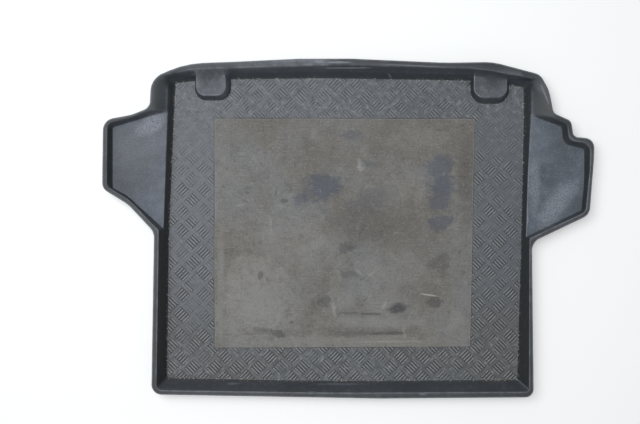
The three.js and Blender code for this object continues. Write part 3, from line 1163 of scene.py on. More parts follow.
@dataclass
class AntiSlipMat:
    """The rubbery mat bonded to the tray's floor, cut by hand with slightly wandering edges."""

    mat: Mat = Mat()
    wander: float = 0.7
    softening: float = 0.7
    sag: float = 0.2
    swell: float = 0.09
    swell_starts: float = 20.0
    # Width of the painted highlight along the cut edge.
    edge_highlight_width: float = 3.0
    span: float = 600.0
    columns: int = 60
    rows: int = 54
    edge_lines: tuple[float, ...] = (0.0, 0.25, 0.6, 1.2, 3.0, 8.0)

    def build(self, material: bpy.types.Material) -> bpy.types.Object:
        """Builds the mat as a thin closed slab.

        Args:
            material: The mat's finish.

        Returns:
            The piece.
        """
        across, up = self._stations(self.columns), self._stations(self.rows)
        share_x, share_y = (grid.ravel() for grid in np.meshgrid(across, up))
        flat = self._placed(share_x, share_y)
        inset = np.minimum.reduce([share_x, 1 - share_x, share_y, 1 - share_y]) * self.span
        low = FLOOR_Z + self.mat.glue
        upper = np.column_stack([flat, self._top(flat, inset, low)])
        points = np.concatenate([upper, np.column_stack([flat, np.full(len(flat), low)])])
        triangles = self._triangles(len(across), len(up))
        # Painted highlight along the cut edge of the upper side, full over the underside.
        edge = np.concatenate([1 - ramp(inset, 0.0, self.edge_highlight_width), np.ones(len(flat))])
        skin = Skin(points, self._normals(points, triangles), triangles, {"edge": edge})
        return PieceMaker.made("anti_slip_mat_sheet", skin, material)

    def _top(self, flat: Rows, inset: Rows, low: float) -> Rows:
        """Finds the height of the mat's upper side, rounded at its edges and gently uneven.

        Args:
            flat: Points seen from above, one to a row.
            inset: How far they lie inside the nearest edge.
            low: Height of the mat's underside.

        Returns:
            The heights there.
        """
        x, y = flat.T
        past_edge = 1 - np.clip(inset / self.softening, 0, 1)
        rounding = self.softening * (1 - np.sqrt(np.clip(1 - past_edge**2, 0, 1)))
        swell = self.swell * (np.sin(x / 37) * np.sin(y / 29 + 1) + np.sin(x / 83 + y / 61))
        return low + self.mat.thick - self.sag - rounding + swell * ramp(inset, 0, self.swell_starts)

    def _triangles(self, wide: int, tall: int) -> Rows:
        """Joins the grid's points, those of the underside after those of the upper side.

        Args:
            wide: How many points a row has.
            tall: How many rows there are.

        Returns:
            The triangles of the upper side, the underside and the edges.
        """
        corner = np.array([row * wide + column for row in range(tall - 1) for column in range(wide - 1)])
        right, above, beyond = corner + 1, corner + wide, corner + wide + 1
        lower_halves, upper_halves = [corner, right, beyond], [corner, beyond, above]
        faces = np.concatenate([np.column_stack(lower_halves), np.column_stack(upper_halves)])
        ring, shift = self._ring(wide, tall), wide * tall
        ring_next = np.roll(ring, -1)
        outer = np.column_stack([ring + shift, ring_next + shift, ring_next])
        inner = np.column_stack([ring + shift, ring_next, ring])
        return np.concatenate([faces, faces[:, ::-1] + shift, outer, inner])

    def _stations(self, count: int) -> Rows:
        """Spaces the grid's lines, close together at both edges."""
        close = np.array(self.edge_lines) / self.span
        return np.concatenate([close, np.linspace(close[-1], 1 - close[-1], count)[1:-1], 1 - close[::-1]])

    def _placed(self, share_x: Rows, share_y: Rows) -> Rows:
        """Places the grid between the mat's four corners, with wandering edges.

        Args:
            share_x: How far along each point lies, from 0 to 1.
            share_y: How far up it lies, from 0 to 1.

        Returns:
            Points seen from above, one to a row.
        """
        low_left, low_right, high_right, high_left = (np.array(corner[:2]) for corner in self.mat.cut.corners)
        bottom = low_left + (low_right - low_left) * share_x[:, None]
        top = high_left + (high_right - high_left) * share_x[:, None]
        flat = bottom + (top - bottom) * share_y[:, None]
        for axis, share, along in ((0, share_x, flat[:, 1]), (1, share_y, flat[:, 0])):
            near_low, near_high = 1 - ramp(share, 0, 0.1), ramp(share, 0.9, 1.0)
            waves = np.sin(along / 61 + axis) + 0.5 * np.sin(along / 17.3) + 0.25 * np.sin(along / 5.1 + 2)
            flat[:, axis] += self.wander * 0.4 * (waves * near_low - np.roll(waves, 7) * near_high)
        return flat

    @staticmethod
    def _ring(wide: int, tall: int) -> Rows:
        """Walks round the grid's border anticlockwise.

        Args:
            wide: How many points a row has.
            tall: How many rows there are.

        Returns:
            Places of the border's points.
        """
        bottom = list(range(wide))
        right = [row * wide + wide - 1 for row in range(1, tall)]
        top = [(tall - 1) * wide + column for column in range(wide - 2, -1, -1)]
        left = [row * wide for row in range(tall - 2, 0, -1)]
        return np.array(bottom + right + top + left)

    @staticmethod
    def _normals(points: Rows, triangles: Rows) -> Rows:
        """Averages the triangles' normals at each point.

        Args:
            points: The points, one to a row.
            triangles: Places of each triangle's points.

        Returns:
            Unit normals, one to a row.
        """
        a, b, c = (points[triangles[:, k]] for k in range(3))
        face = np.cross(b - a, c - a)
        normals = np.zeros_like(points)
        for k in range(3):
            np.add.at(normals, triangles[:, k], face)
        return normals / np.linalg.norm(normals, axis=1, keepdims=True)


def written(red: int, green: int, blue: int) -> tuple[float, float, float, float]:
    """Turns a colour as a screen writes it into a shader's linear colour.

    Args:
        red: Red from 0 to 255.
        green: Green from 0 to 255.
        blue: Blue from 0 to 255.

    Returns:
        Linear red, green and blue, and full alpha.
    """
    shares = [channel / 255 for channel in (red, green, blue)]
    linear = [share / 12.92 if share <= 0.04045 else ((share + 0.055) / 1.055) ** 2.4 for share in shares]
    return linear[0], linear[1], linear[2], 1.0


class Sum(Enum):
    """What a node makes of one or two values."""

    PLUS = "ADD"
    MINUS = "SUBTRACT"
    TIMES = "MULTIPLY"
    OVER = "DIVIDE"
    HIGHER = "MAXIMUM"
    BELOW = "LESS_THAN"
    SIZE = "ABSOLUTE"
    LENGTH = "LENGTH"


class NodeSheet:
    """Places and joins the nodes of one tree, whose patterns are read at one place."""

    def __init__(self, tree: bpy.types.NodeTree) -> None:
        """Takes the tree to work in."""
        self.tree = tree
        self.place: Any = (0.0, 0.0, 0.0)

    def node(self, kind: str, inputs: dict[Any, Any] | None = None, **settings: Any) -> bpy.types.Node:
        """Adds a node.

        Args:
            kind: The node's type.
            inputs: Values or sockets for its inputs.
            **settings: Values of its own properties.

        Returns:
            The node.
        """
        made = self.tree.nodes.new(kind)
        for name, value in settings.items():
            setattr(made, name, value)
        for name, value in (inputs or {}).items():
            self.feed(made.inputs[name], value)
        return made

    def feed(self, socket: Socket, value: Any) -> None:
        """Joins a socket to another, or sets its value.

        Args:
            socket: The socket to feed.
            value: Another socket, or a plain value.
        """
        if isinstance(value, Socket):
            self.tree.links.new(value, socket)
        else:
            socket.default_value = value

    def math(self, kind: Sum, first: Any, second: Any = 0.5, clamp: bool = False) -> Socket:
        """Works out a sum of one or two values."""
        inputs = {0: first, 1: second}
        return self.node("ShaderNodeMath", inputs, operation=kind.value, use_clamp=clamp).outputs[0]

    def plus(self, first: Any, second: Any) -> Socket:
        """Adds two values."""
        return self.math(Sum.PLUS, first, second)

    def minus(self, first: Any, second: Any) -> Socket:
        """Takes the second value from the first."""
        return self.math(Sum.MINUS, first, second)

    def times(self, first: Any, second: Any, clamp: bool = False) -> Socket:
        """Multiplies two values, and may keep the result between 0 and 1."""
        return self.math(Sum.TIMES, first, second, clamp)

    def higher(self, first: Any, second: Any) -> Socket:
        """Takes the higher of two values."""
        return self.math(Sum.HIGHER, first, second)

    def vector(self, kind: Sum, first: Any, second: Any = (0.0, 0.0, 0.0)) -> bpy.types.NodeOutputs:
        """Works out a sum of one or two vectors, and gives the node's outputs."""
        return self.node("ShaderNodeVectorMath", {0: first, 1: second}, operation=kind.value).outputs

    def turned(self, place: Any, angle: Any) -> Socket:
        """Turns places about Z by an angle in radians."""
        inputs = {"Vector": place, "Angle": angle}
        return self.node("ShaderNodeVectorRotate", inputs, rotation_type="Z_AXIS").outputs[0]

    def remap(self, value: Any, low: Any, high: Any, to: tuple[float, float] = (0.0, 1.0)) -> Socket:
        """Maps a range of values smoothly to another and keeps to its ends.

        Args:
            value: Value to map.
            low: Value that gives the first end.
            high: Value that gives the second end.
            to: The two ends.

        Returns:
            The mapped value.
        """
        inputs = {"Value": value, "From Min": low, "From Max": high, "To Min": to[0], "To Max": to[1]}
        return self.node("ShaderNodeMapRange", inputs, interpolation_type="SMOOTHSTEP").outputs["Result"]

    def colour(self, share: Any, below: Socket | Colour, above: Socket | Colour) -> Socket:
        """Lays one colour over another.

        Args:
            share: How much of the upper colour shows.
            below: The lower colour, as a socket or as a screen writes it.
            above: The upper colour, likewise.

        Returns:
            The joined colour.
        """
        lower, upper = (written(*paint) if isinstance(paint, tuple) else paint for paint in (below, above))
        return self.node("ShaderNodeMix", {0: share, 6: lower, 7: upper}, data_type="RGBA").outputs[2]

    def noise(self, scale: Any, detail: float, rough: float, bend: float = 0.0, at: Any = None) -> Socket:
        """Adds a cloudy pattern.

        Args:
            scale: How many clouds there are to a metre.
            detail: How many finer layers it has.
            rough: How strong the finer layers are.
            bend: How far the pattern is pulled about.
            at: Where it is read, or None at the sheet's own place.

        Returns:
            Values round one half.
        """
        place = self.place if at is None else at
        inputs = {"Vector": place, "Scale": scale, "Detail": detail, "Roughness": rough, "Distortion": bend}
        return self.node("ShaderNodeTexNoise", inputs).outputs["Fac"]

    def axes(self) -> bpy.types.NodeOutputs:
        """Splits the sheet's place into X, Y and Z."""
        return self.node("ShaderNodeSeparateXYZ", {0: self.place}).outputs

    def mark(self, name: str) -> Socket:
        """Reads a surface mark that the mesh carries."""
        return self.node("ShaderNodeAttribute", attribute_name=name).outputs["Fac"]

    def surface(self, colour: Socket, rough: Socket, height: Socket, relief: Relief, gloss: float) -> None:
        """Ends a material with its shader.

        Args:
            colour: The colour.
            rough: The roughness.
            height: Heights of the grain, as shares of its depth.
            relief: How strong the grain is, and its depth in metres.
            gloss: Level of the gloss.
        """
        bump = self.node("ShaderNodeBump", {"Strength": relief[0], "Distance": relief[1], "Height": height})
        inputs = {"Base Color": colour, "Roughness": rough, "Normal": bump.outputs[0]}
        shader = self.node("ShaderNodeBsdfPrincipled", inputs | {"Specular IOR Level": gloss})
        self.node("ShaderNodeOutputMaterial", {"Surface": shader.outputs[0]})


VECTOR, VALUE = "NodeSocketVector", "NodeSocketFloat"


class EffectGroup:
    """A shader node group that reads a place, built once and laid in many materials.

    Besides its place it has named inputs and outputs of its own.
    """

    title = "effect"
    inputs: tuple[tuple[str, str, Any], ...] = ()
    outputs: tuple[tuple[str, str], ...] = ()

    @classmethod
    def tree(cls) -> bpy.types.NodeTree:
        """Gives the group's tree, and builds it where it isn't there yet.

        Returns:
            The tree.
        """
        known = bpy.data.node_groups.get(cls.title)
        if known:
            return known
        tree = bpy.data.node_groups.new(cls.title, "ShaderNodeTree")
        tree.interface.new_socket("Place", in_out="INPUT", socket_type=VECTOR)
        for name, kind, value in cls.inputs:
            tree.interface.new_socket(name, in_out="INPUT", socket_type=kind).default_value = value
        for name, kind in cls.outputs:
            tree.interface.new_socket(name, in_out="OUTPUT", socket_type=kind)
        sheet = NodeSheet(tree)
        taken = sheet.node("NodeGroupInput")
        sheet.place = taken.outputs["Place"]
        made = cls.fill(sheet, {name: taken.outputs[name] for name, _, _ in cls.inputs})
        given = sheet.node("NodeGroupOutput")
        for name, socket in made.items():
            tree.links.new(socket, given.inputs[name])
        return tree

    @classmethod
    def fill(cls, sheet: NodeSheet, given: dict[str, Any]) -> dict[str, Any]:
        """Builds the group's inside.

        Args:
            sheet: Where the nodes go.
            given: The group's inputs by name.

        Returns:
            The group's outputs by name.
        """
        raise NotImplementedError

    @classmethod
    def placed(cls, sheet: NodeSheet, **values: Any) -> Socket:
        """Puts the group into a material.

        Args:
            sheet: The material's nodes.
            **values: Values or sockets for the group's inputs, by name. Its place is the sheet's own
                where none is given.

        Returns:
            The group's first output.
        """
        node = sheet.node("ShaderNodeGroup", node_tree=cls.tree())
        for name, value in ({"Place": sheet.place} | values).items():
            sheet.feed(node.inputs[name], value)
        return node.outputs[0]


class Patches(EffectGroup):
    """Uneven cover, as of dust or polish, that breaks up into clouds and fine grit."""

    title = "patches"
    inputs = (("Cover", VALUE, 1.0), ("Clouds", VALUE, 8.0), ("Break up", VALUE, 0.4))
    outputs = (("Amount", VALUE),)

    @classmethod
    def fill(cls, sheet: NodeSheet, given: dict[str, Any]) -> dict[str, Any]:
        """Builds the clouds from three sizes of noise.

        Args:
            sheet: Where the nodes go.
            given: The group's inputs by name.

        Returns:
            The group's output by its name.
        """
        broad = sheet.noise(given["Clouds"], 4, 0.6, 0.4)
        middle = sheet.noise(sheet.times(given["Clouds"], 7.0), 4, 0.65)
        grit = sheet.noise(520.0, 1, 0.5)
        clouds = sheet.plus(sheet.times(broad, 0.5), sheet.times(middle, 0.3))
        clouds = sheet.plus(clouds, sheet.times(grit, 0.2))
        uneven = sheet.times(sheet.minus(clouds, 0.5), 5.0)
        uneven = sheet.times(uneven, given["Break up"])
        amount = sheet.times(given["Cover"], sheet.plus(uneven, 1.0), clamp=True)
        return {"Amount": amount}


class RaggedOval(EffectGroup):
    """One oval patch with a ragged, soft edge, for stains and for painted sheen and highlights."""

    title = "ragged_oval"
    inputs = (
        ("Centre", VECTOR, (0.0, 0.0, 0.0)),
        ("Size", VECTOR, (0.03, 0.03, 1.0)),
        ("Turn", VALUE, 0.0),
        ("Tear", VALUE, 0.0),
        ("Softness", VALUE, 0.3),
    )
    outputs = (("Mask", VALUE),)

    @classmethod
    def fill(cls, sheet: NodeSheet, given: dict[str, Any]) -> dict[str, Any]:
        """Builds the oval, and tears its edge.

        Args:
            sheet: Where the nodes go.
            given: The group's inputs by name.

        Returns:
            The group's output by its name.
        """
        gap = sheet.vector(Sum.MINUS, sheet.place, given["Centre"])[0]
        scaled = sheet.vector(Sum.OVER, sheet.turned(gap, given["Turn"]), given["Size"])[0]
        flat = sheet.vector(Sum.TIMES, scaled, (1.0, 1.0, 0.0))[0]
        reach = sheet.plus(sheet.vector(Sum.LENGTH, flat)["Value"], given["Tear"])
        inner = sheet.minus(0.9, given["Softness"])
        outer = sheet.plus(0.9, given["Softness"])
        return {"Mask": sheet.remap(reach, outer, inner)}


class Scratches(EffectGroup):
    """Fine scratches that run mostly one way."""

    title = "scratches"
    inputs = (("Along", VALUE, 14.0), ("Across", VALUE, 420.0), ("Rare", VALUE, 0.66))
    outputs = (("Mask", VALUE),)

    @classmethod
    def fill(cls, sheet: NodeSheet, given: dict[str, Any]) -> dict[str, Any]:
        """Builds the scratches from noise drawn out along X.

        Args:
            sheet: Where the nodes go.
            given: The group's inputs by name.

        Returns:
            The group's output by its name.
        """
        sizes = sheet.node("ShaderNodeCombineXYZ", {"X": given["Along"], "Y": given["Across"], "Z": 1.0})
        drawn = sheet.vector(Sum.TIMES, sheet.place, sizes.outputs[0])[0]
        lines = sheet.noise(1.0, 2, 0.6, 0.15, drawn)
        broken = sheet.noise(30.0, 3, 0.6)
        level = sheet.plus(lines, sheet.times(sheet.minus(broken, 0.5), 0.35))
        over = sheet.minus(level, given["Rare"])
        return {"Mask": sheet.times(over, 14.0, clamp=True)}


class Flecks(EffectGroup):
    """Small scattered specks, as of lint, sand or scuffed grain."""

    title = "flecks"
    inputs = (("Size", VALUE, 0.004), ("Share", VALUE, 0.3))
    outputs = (("Mask", VALUE),)

    @classmethod
    def fill(cls, sheet: NodeSheet, given: dict[str, Any]) -> dict[str, Any]:
        """Builds the specks from the cores of cells, of which a share is kept.

        Args:
            sheet: Where the nodes go.
            given: The group's inputs by name.

        Returns:
            The group's output by its name.
        """
        scale = sheet.math(Sum.OVER, 1.0, given["Size"])
        cells = sheet.node("ShaderNodeTexVoronoi", {"Vector": sheet.place, "Scale": scale})
        parts = sheet.node("ShaderNodeSeparateColor", {0: cells.outputs["Color"]})
        core = sheet.remap(cells.outputs["Distance"], 0.42, 0.12)
        kept = sheet.math(Sum.BELOW, parts.outputs[0], given["Share"])
        strength = sheet.plus(sheet.times(parts.outputs[1], 0.7), 0.3)
        return {"Mask": sheet.times(sheet.times(core, kept), strength)}


class LeatherGrain(EffectGroup):
    """The pebbled grain that the forming mould leaves in plastic."""

    title = "leather grain"
    inputs = (("Pebble", VALUE, 0.0022), ("Relief", VALUE, 1.0))
    outputs = (("Height", VALUE),)

    @classmethod
    def fill(cls, sheet: NodeSheet, given: dict[str, Any]) -> dict[str, Any]:
        """Builds the pebbles from cells and a finer roughness.

        Args:
            sheet: Where the nodes go.
            given: The group's inputs by name.

        Returns:
            The group's output by its name.
        """
        scale = sheet.math(Sum.OVER, 1.0, given["Pebble"])
        inputs = {"Vector": sheet.place, "Scale": scale, "Randomness": 0.9}
        cells = sheet.node("ShaderNodeTexVoronoi", inputs, feature="SMOOTH_F1")
        fine = sheet.noise(sheet.times(scale, 1.7), 3, 0.6)
        height = sheet.plus(sheet.times(cells.outputs["Distance"], -1.0), fine)
        return {"Height": sheet.times(height, given["Relief"])}


@dataclass(frozen=True)
class Smear:
    """One stain, rubbed patch or painted highlight: its middle and half sizes in millimetres, its turn and
    its strength.
    """

    middle: tuple[float, float]
    half: tuple[float, float]
    turn: float = 0.0
    strength: float = 0.8
    ragged: float = 0.5
    softness: float = 0.3

    def mask(self, sheet: NodeSheet, tear: Socket) -> Socket:
        """Draws the smear in a material.

        Args:
            sheet: The material's nodes.
            tear: Values round zero that tear the edge.

        Returns:
            How much of it shows.
        """
        shape = RaggedOval.placed(
            sheet,
            Centre=(self.middle[0] * MM, self.middle[1] * MM, 0.0),
            Size=(self.half[0] * MM, self.half[1] * MM, 1.0),
            Turn=-math.radians(self.turn),
            Tear=sheet.times(tear, 4.0 * self.ragged),
            Softness=self.softness,
        )
        return sheet.times(shape, self.strength)


def smeared(sheet: NodeSheet, smears: tuple[Smear, ...]) -> Socket:
    """Joins the masks of several smears.

    Args:
        sheet: The material's nodes.
        smears: The smears.

    Returns:
        The strongest mask at each place.
    """
    tear = sheet.minus(sheet.noise(42.0, 5, 0.7, 0.6), 0.5)
    mask = smears[0].mask(sheet, tear)
    for smear in smears[1:]:
        mask = sheet.higher(mask, smear.mask(sheet, tear))
    return mask


def blank_finish(name: str) -> tuple[bpy.types.Material, NodeSheet]:
    """Starts a material that has no nodes yet.

    Args:
        name: Name of the material.

    Returns:
        The material, and the sheet for its nodes.
    """
    material = bpy.data.materials.new(name)
    material.use_nodes = True
    material.node_tree.nodes.clear()
    return material, NodeSheet(material.node_tree)


@dataclass(frozen=True)
class TrayPlastic:
    """Charcoal plastic under a veil of dust that is painted lighter towards the left as painted light, rubbed
    and painted light on its bars' crests, with dirt and painted shade in their grooves, painted sheen on its
    shelves, and scuffs and painted highlights on its edges.
    """

    clean: Colour = (51, 54, 57)
    # The left and right dust and step colours: dust painted lighter towards the left, as painted light on top
    # of the dust.
    dust_lit_left: Colour = (115, 119, 125)
    dust_dim_right: Colour = (104, 109, 114)
    step_lit_left: Colour = (104, 112, 125)
    step_dim_right: Colour = (99, 109, 121)
    dust_warm: Colour = (99, 101, 101)
    dust_thick: Colour = (138, 141, 145)
    dust_thin: Colour = (84, 88, 93)
    # Crests painted light, as polish and painted highlight; grooves painted dark, as dirt and painted shade.
    polish_and_highlight: Colour = (152, 154, 156)
    groove_dirt_and_shade: Colour = (64, 66, 70)
    # Scuffs, and the colour of the painted sheen, glints and highlights.
    scuff_and_highlight: Colour = (153, 159, 170)
    grit: Colour = (182, 178, 166)
    pebble: float = 0.0026
    relief: Relief = (0.35, 0.0007)
    rough: float = 0.5
    rough_dust: float = 0.22
    smooth_crest: float = 0.12
    gloss: float = 0.35
    # Painted sheen and painted highlights on the shelves, the right shelf's inner edge and the tailgate
    # flange, drawn as rubbed patches.
    rubbed_and_sheen: tuple[Smear, ...] = (
        Smear((-515, 266), (48, 26), 38, 0.8, 0.3, 0.5),
        Smear((-535, 225), (92, 56), 34, 0.32, 0.35, 0.6),
        Smear((566, 92), (54, 18), 45, 0.7, 0.25, 0.5),
        Smear((544, 62), (80, 28), 51, 0.85, 0.3, 0.6),
        Smear((487, 110), (16, 80), 0, 0.6, 0.35, 0.5),
        Smear((-128, 434), (90, 4), 2, 0.4, 0.5, 0.5),
    )
    buried: tuple[Smear, ...] = (
        Smear((-410, -202), (20, 20), 0, 0.8, 0.3, 0.4),
        Smear((-402, -148), (20, 18), 0, 0.7, 0.3, 0.4),
        Smear((-412, -256), (20, 20), 0, 0.6, 0.3, 0.4),
        Smear((-458, -146), (16, 22), 0, 0.5, 0.3, 0.4),
        Smear((-390, 268), (52, 90), 0, 0.7, 0.5, 0.5),
        Smear((-420, 345), (24, 40), 0, 0.9, 0.3, 0.4),
        Smear((-372, 60), (40, 60), 20, 0.35, 0.5, 0.5),
        Smear((395, 285), (50, 90), 0, 0.5, 0.5, 0.5),
        Smear((300, 345), (60, 26), 0, 0.5, 0.5, 0.5),
        Smear((455, 330), (24, 60), 0, 0.8, 0.3, 0.4),
        Smear((420, -130), (24, 30), 0, 0.4, 0.5, 0.5),
        Smear((-120, -385), (26, 14), 0, 0.4, 0.5, 0.5),
    )
    # Painted highlight lines along crests and creases of the rim and walls, with some scuffs.
    crease_scuffs_and_highlights: tuple[Smear, ...] = (
        Smear((457, -408), (17, 2.4), -42, 0.22, 0.3),
        Smear((510, 345), (34, 2.5), -68, 0.4, 0.3),
        Smear((498, 372), (26, 12), -60, 0.18, 0.5, 0.6),
        Smear((-300, -408), (16, 2), 0, 0.25, 0.6, 0.5),
        Smear((-95, -425), (14, 3), 0, 0.3, 0.6, 0.5),
        Smear((190, -428), (10, 3), 0, 0.35, 0.6, 0.5),
        Smear((-20, -410), (60, 2), 0, 0.2, 0.6, 0.5),
        Smear((110, 400), (8, 2), -40, 0.4, 0.5, 0.4),
        Smear((-77, 430), (18, 4), 0, 0.5, 0.6, 0.5),
        Smear((-25, 429), (32, 2.6), 0, 0.55, 0.5, 0.4),
        Smear((0, 416), (76, 1.6), 0, 0.45, 0.3, 0.3),
        Smear((180, 419.6), (100, 1.3), -2.8, 0.45, 0.2, 0.4),
    )

    def build(self) -> bpy.types.Material:
        """Builds the material.

        Returns:
            The material.
        """
        material, sheet = blank_finish("tray_plastic_finish")
        sheet.place = sheet.node("ShaderNodeTexCoord").outputs["Object"]
        grain = sheet.mark("grain")
        colour, cover = self._dusted(sheet, grain)
        colour, crest = self._barred(sheet, colour)
        colour = self._scuffed_and_lit(sheet, grain, colour)
        colour = self._littered(sheet, grain, colour)
        height = LeatherGrain.placed(sheet, Pebble=self.pebble, Relief=1.0)
        height = sheet.times(height, sheet.plus(sheet.times(grain, 0.8), 0.2))
        rough = sheet.plus(sheet.times(cover, self.rough_dust), self.rough)
        rough = sheet.minus(rough, sheet.times(crest, self.smooth_crest))
        sheet.surface(colour, rough, height, self.relief, self.gloss)
        return material

    def _dusted(self, sheet: NodeSheet, grain: Socket) -> tuple[Socket, Socket]:
        """Lays dust over the clean plastic.

        Args:
            sheet: The material's nodes.
            grain: How much of the grain shows.

        Returns:
            The colour, and how far dust covers the plastic.
        """
        axes = sheet.axes()
        uneven = sheet.remap(grain, 0.0, 1.0, (0.35, 0.75))
        cover = Patches.placed(sheet, **{"Cover": sheet.mark("dust"), "Clouds": 5.0, "Break up": uneven})
        # Painted light: the dust and step colours lighten towards the left, where the lamp stands.
        to_right = sheet.remap(axes["X"], -0.46, 0.3)
        dust = sheet.colour(to_right, self.dust_lit_left, self.dust_dim_right)
        on_step = sheet.colour(to_right, self.step_lit_left, self.step_dim_right)
        on_step = sheet.colour(sheet.remap(axes["Z"], 0.034, 0.046), on_step, dust)
        dust = sheet.colour(grain, dust, on_step)
        warmth = sheet.remap(sheet.noise(4.0, 3, 0.6), 0.35, 0.6, (0.3, 1.0))
        warmth = sheet.times(warmth, sheet.remap(grain, 0.0, 1.0, (0.85, 0.0)))
        warmth = sheet.times(warmth, sheet.remap(axes["Y"], -0.05, -0.32))
        dust = sheet.colour(warmth, dust, self.dust_warm)
        grime = sheet.noise(80.0, 5, 0.78)
        uneven = sheet.remap(sheet.math(Sum.SIZE, axes["Y"]), 0.24, 0.33, (0.5, 1.2))
        thin = sheet.times(sheet.remap(grime, 0.5, 0.72), uneven, clamp=True)
        thick = sheet.times(sheet.remap(grime, 0.5, 0.28), uneven, clamp=True)
        dust = sheet.colour(thin, dust, self.dust_thin)
        dust = sheet.colour(thick, dust, self.dust_thick)
        film = sheet.remap(grime, 0.45, 0.75, (0.0, 0.3))
        bare = sheet.colour(film, self.clean, self.dust_thin)
        return sheet.colour(cover, bare, dust), cover

    def _barred(self, sheet: NodeSheet, colour: Socket) -> tuple[Socket, Socket]:
        """Lightens the bars' crests, as polish and painted highlight, and darkens the grooves, as dirt and
        painted shade, and the band beside the mat, where dust hasn't buried them.

        Args:
            sheet: The material's nodes.
            colour: The colour so far.

        Returns:
            The colour, and how far crests are polished and painted light.
        """
        patch = sheet.remap(sheet.noise(17.0, 3, 0.6), 0.36, 0.6, (0.3, 1.2))
        bare = sheet.minus(1.0, smeared(sheet, self.buried))
        patch = sheet.times(patch, bare)
        crisp = sheet.times(patch, sheet.remap(sheet.axes()["Y"], 0.3, -0.32, (0.6, 1.4)))
        crest = sheet.times(sheet.remap(sheet.mark("bars"), 0.4, 0.95), crisp, clamp=True)
        rubbed_and_sheen = sheet.remap(sheet.noise(150.0, 3, 0.7), 0.3, 0.55, (0.25, 1.0))
        crest = sheet.times(crest, rubbed_and_sheen)
        # Painted highlight with polish on the bars' crests.
        colour = sheet.colour(sheet.times(crest, 0.85), colour, self.polish_and_highlight)
        # Painted shade with dirt in the grooves, and the darker band beside the mat.
        groove_dirt_and_shade = sheet.times(sheet.mark("groove_dirt_and_shade"), crisp, clamp=True)
        seam = sheet.times(sheet.mark("seam"), patch, clamp=True)
        dark = sheet.times(sheet.higher(groove_dirt_and_shade, seam), 0.8)
        return sheet.colour(dark, colour, self.groove_dirt_and_shade), crest

    def _scuffed_and_lit(self, sheet: NodeSheet, grain: Socket, colour: Socket) -> Socket:
        """Paints sheen on the shelves and glints on the grain, and wears the edges and paints highlights on
        them.

        Args:
            sheet: The material's nodes.
            grain: How much of the grain shows.
            colour: The colour so far.

        Returns:
            The new colour.
        """
        sparkle = sheet.noise(330.0, 2, 0.7)
        lying = sheet.remap(sheet.mark("dust"), 0.08, 0.3)
        # Painted sheen on the shelves.
        shine = sheet.times(smeared(sheet, self.rubbed_and_sheen), sheet.remap(sparkle, 0.3, 0.66))
        shine = sheet.times(shine, lying)
        # Painted glints on the grain.
        grain_glints = sheet.times(grain, sheet.remap(sparkle, 0.52, 0.75, (0.0, 0.45)))
        grain_glints = sheet.times(grain_glints, sheet.remap(sheet.mark("dust"), 0.2, 0.6))
        colour = sheet.colour(sheet.higher(shine, grain_glints), colour, self.scuff_and_highlight)
        # Edge wear with painted highlights along crests and creases.
        broken = sheet.remap(sheet.noise(34.0, 5, 0.72), 0.36, 0.66, (0.45, 1.0))
        worn_and_lit = sheet.times(sheet.mark("edge_wear_and_highlight"), broken)
        worn_and_lit = sheet.higher(worn_and_lit, smeared(sheet, self.crease_scuffs_and_highlights))
        return sheet.colour(worn_and_lit, colour, self.scuff_and_highlight)

    def _littered(self, sheet: NodeSheet, grain: Socket, colour: Socket) -> Socket:
        """Scatters grit and lint, most of it along the feet of the walls.

        Args:
            sheet: The material's nodes.
            grain: How much of the grain shows.
            colour: The colour so far.

        Returns:
            The new colour.
        """
        foot = sheet.mark("foot")
        litter = Flecks.placed(sheet, Size=0.006, Share=0.6)
        litter = sheet.times(litter, sheet.times(foot, foot))
        loose = Flecks.placed(sheet, Size=0.007, Share=0.06)
        loose = sheet.times(loose, sheet.remap(grain, 0.0, 0.2, (0.4, 0.0)))
        specks = sheet.higher(litter, loose)
        return sheet.colour(specks, colour, self.grit)


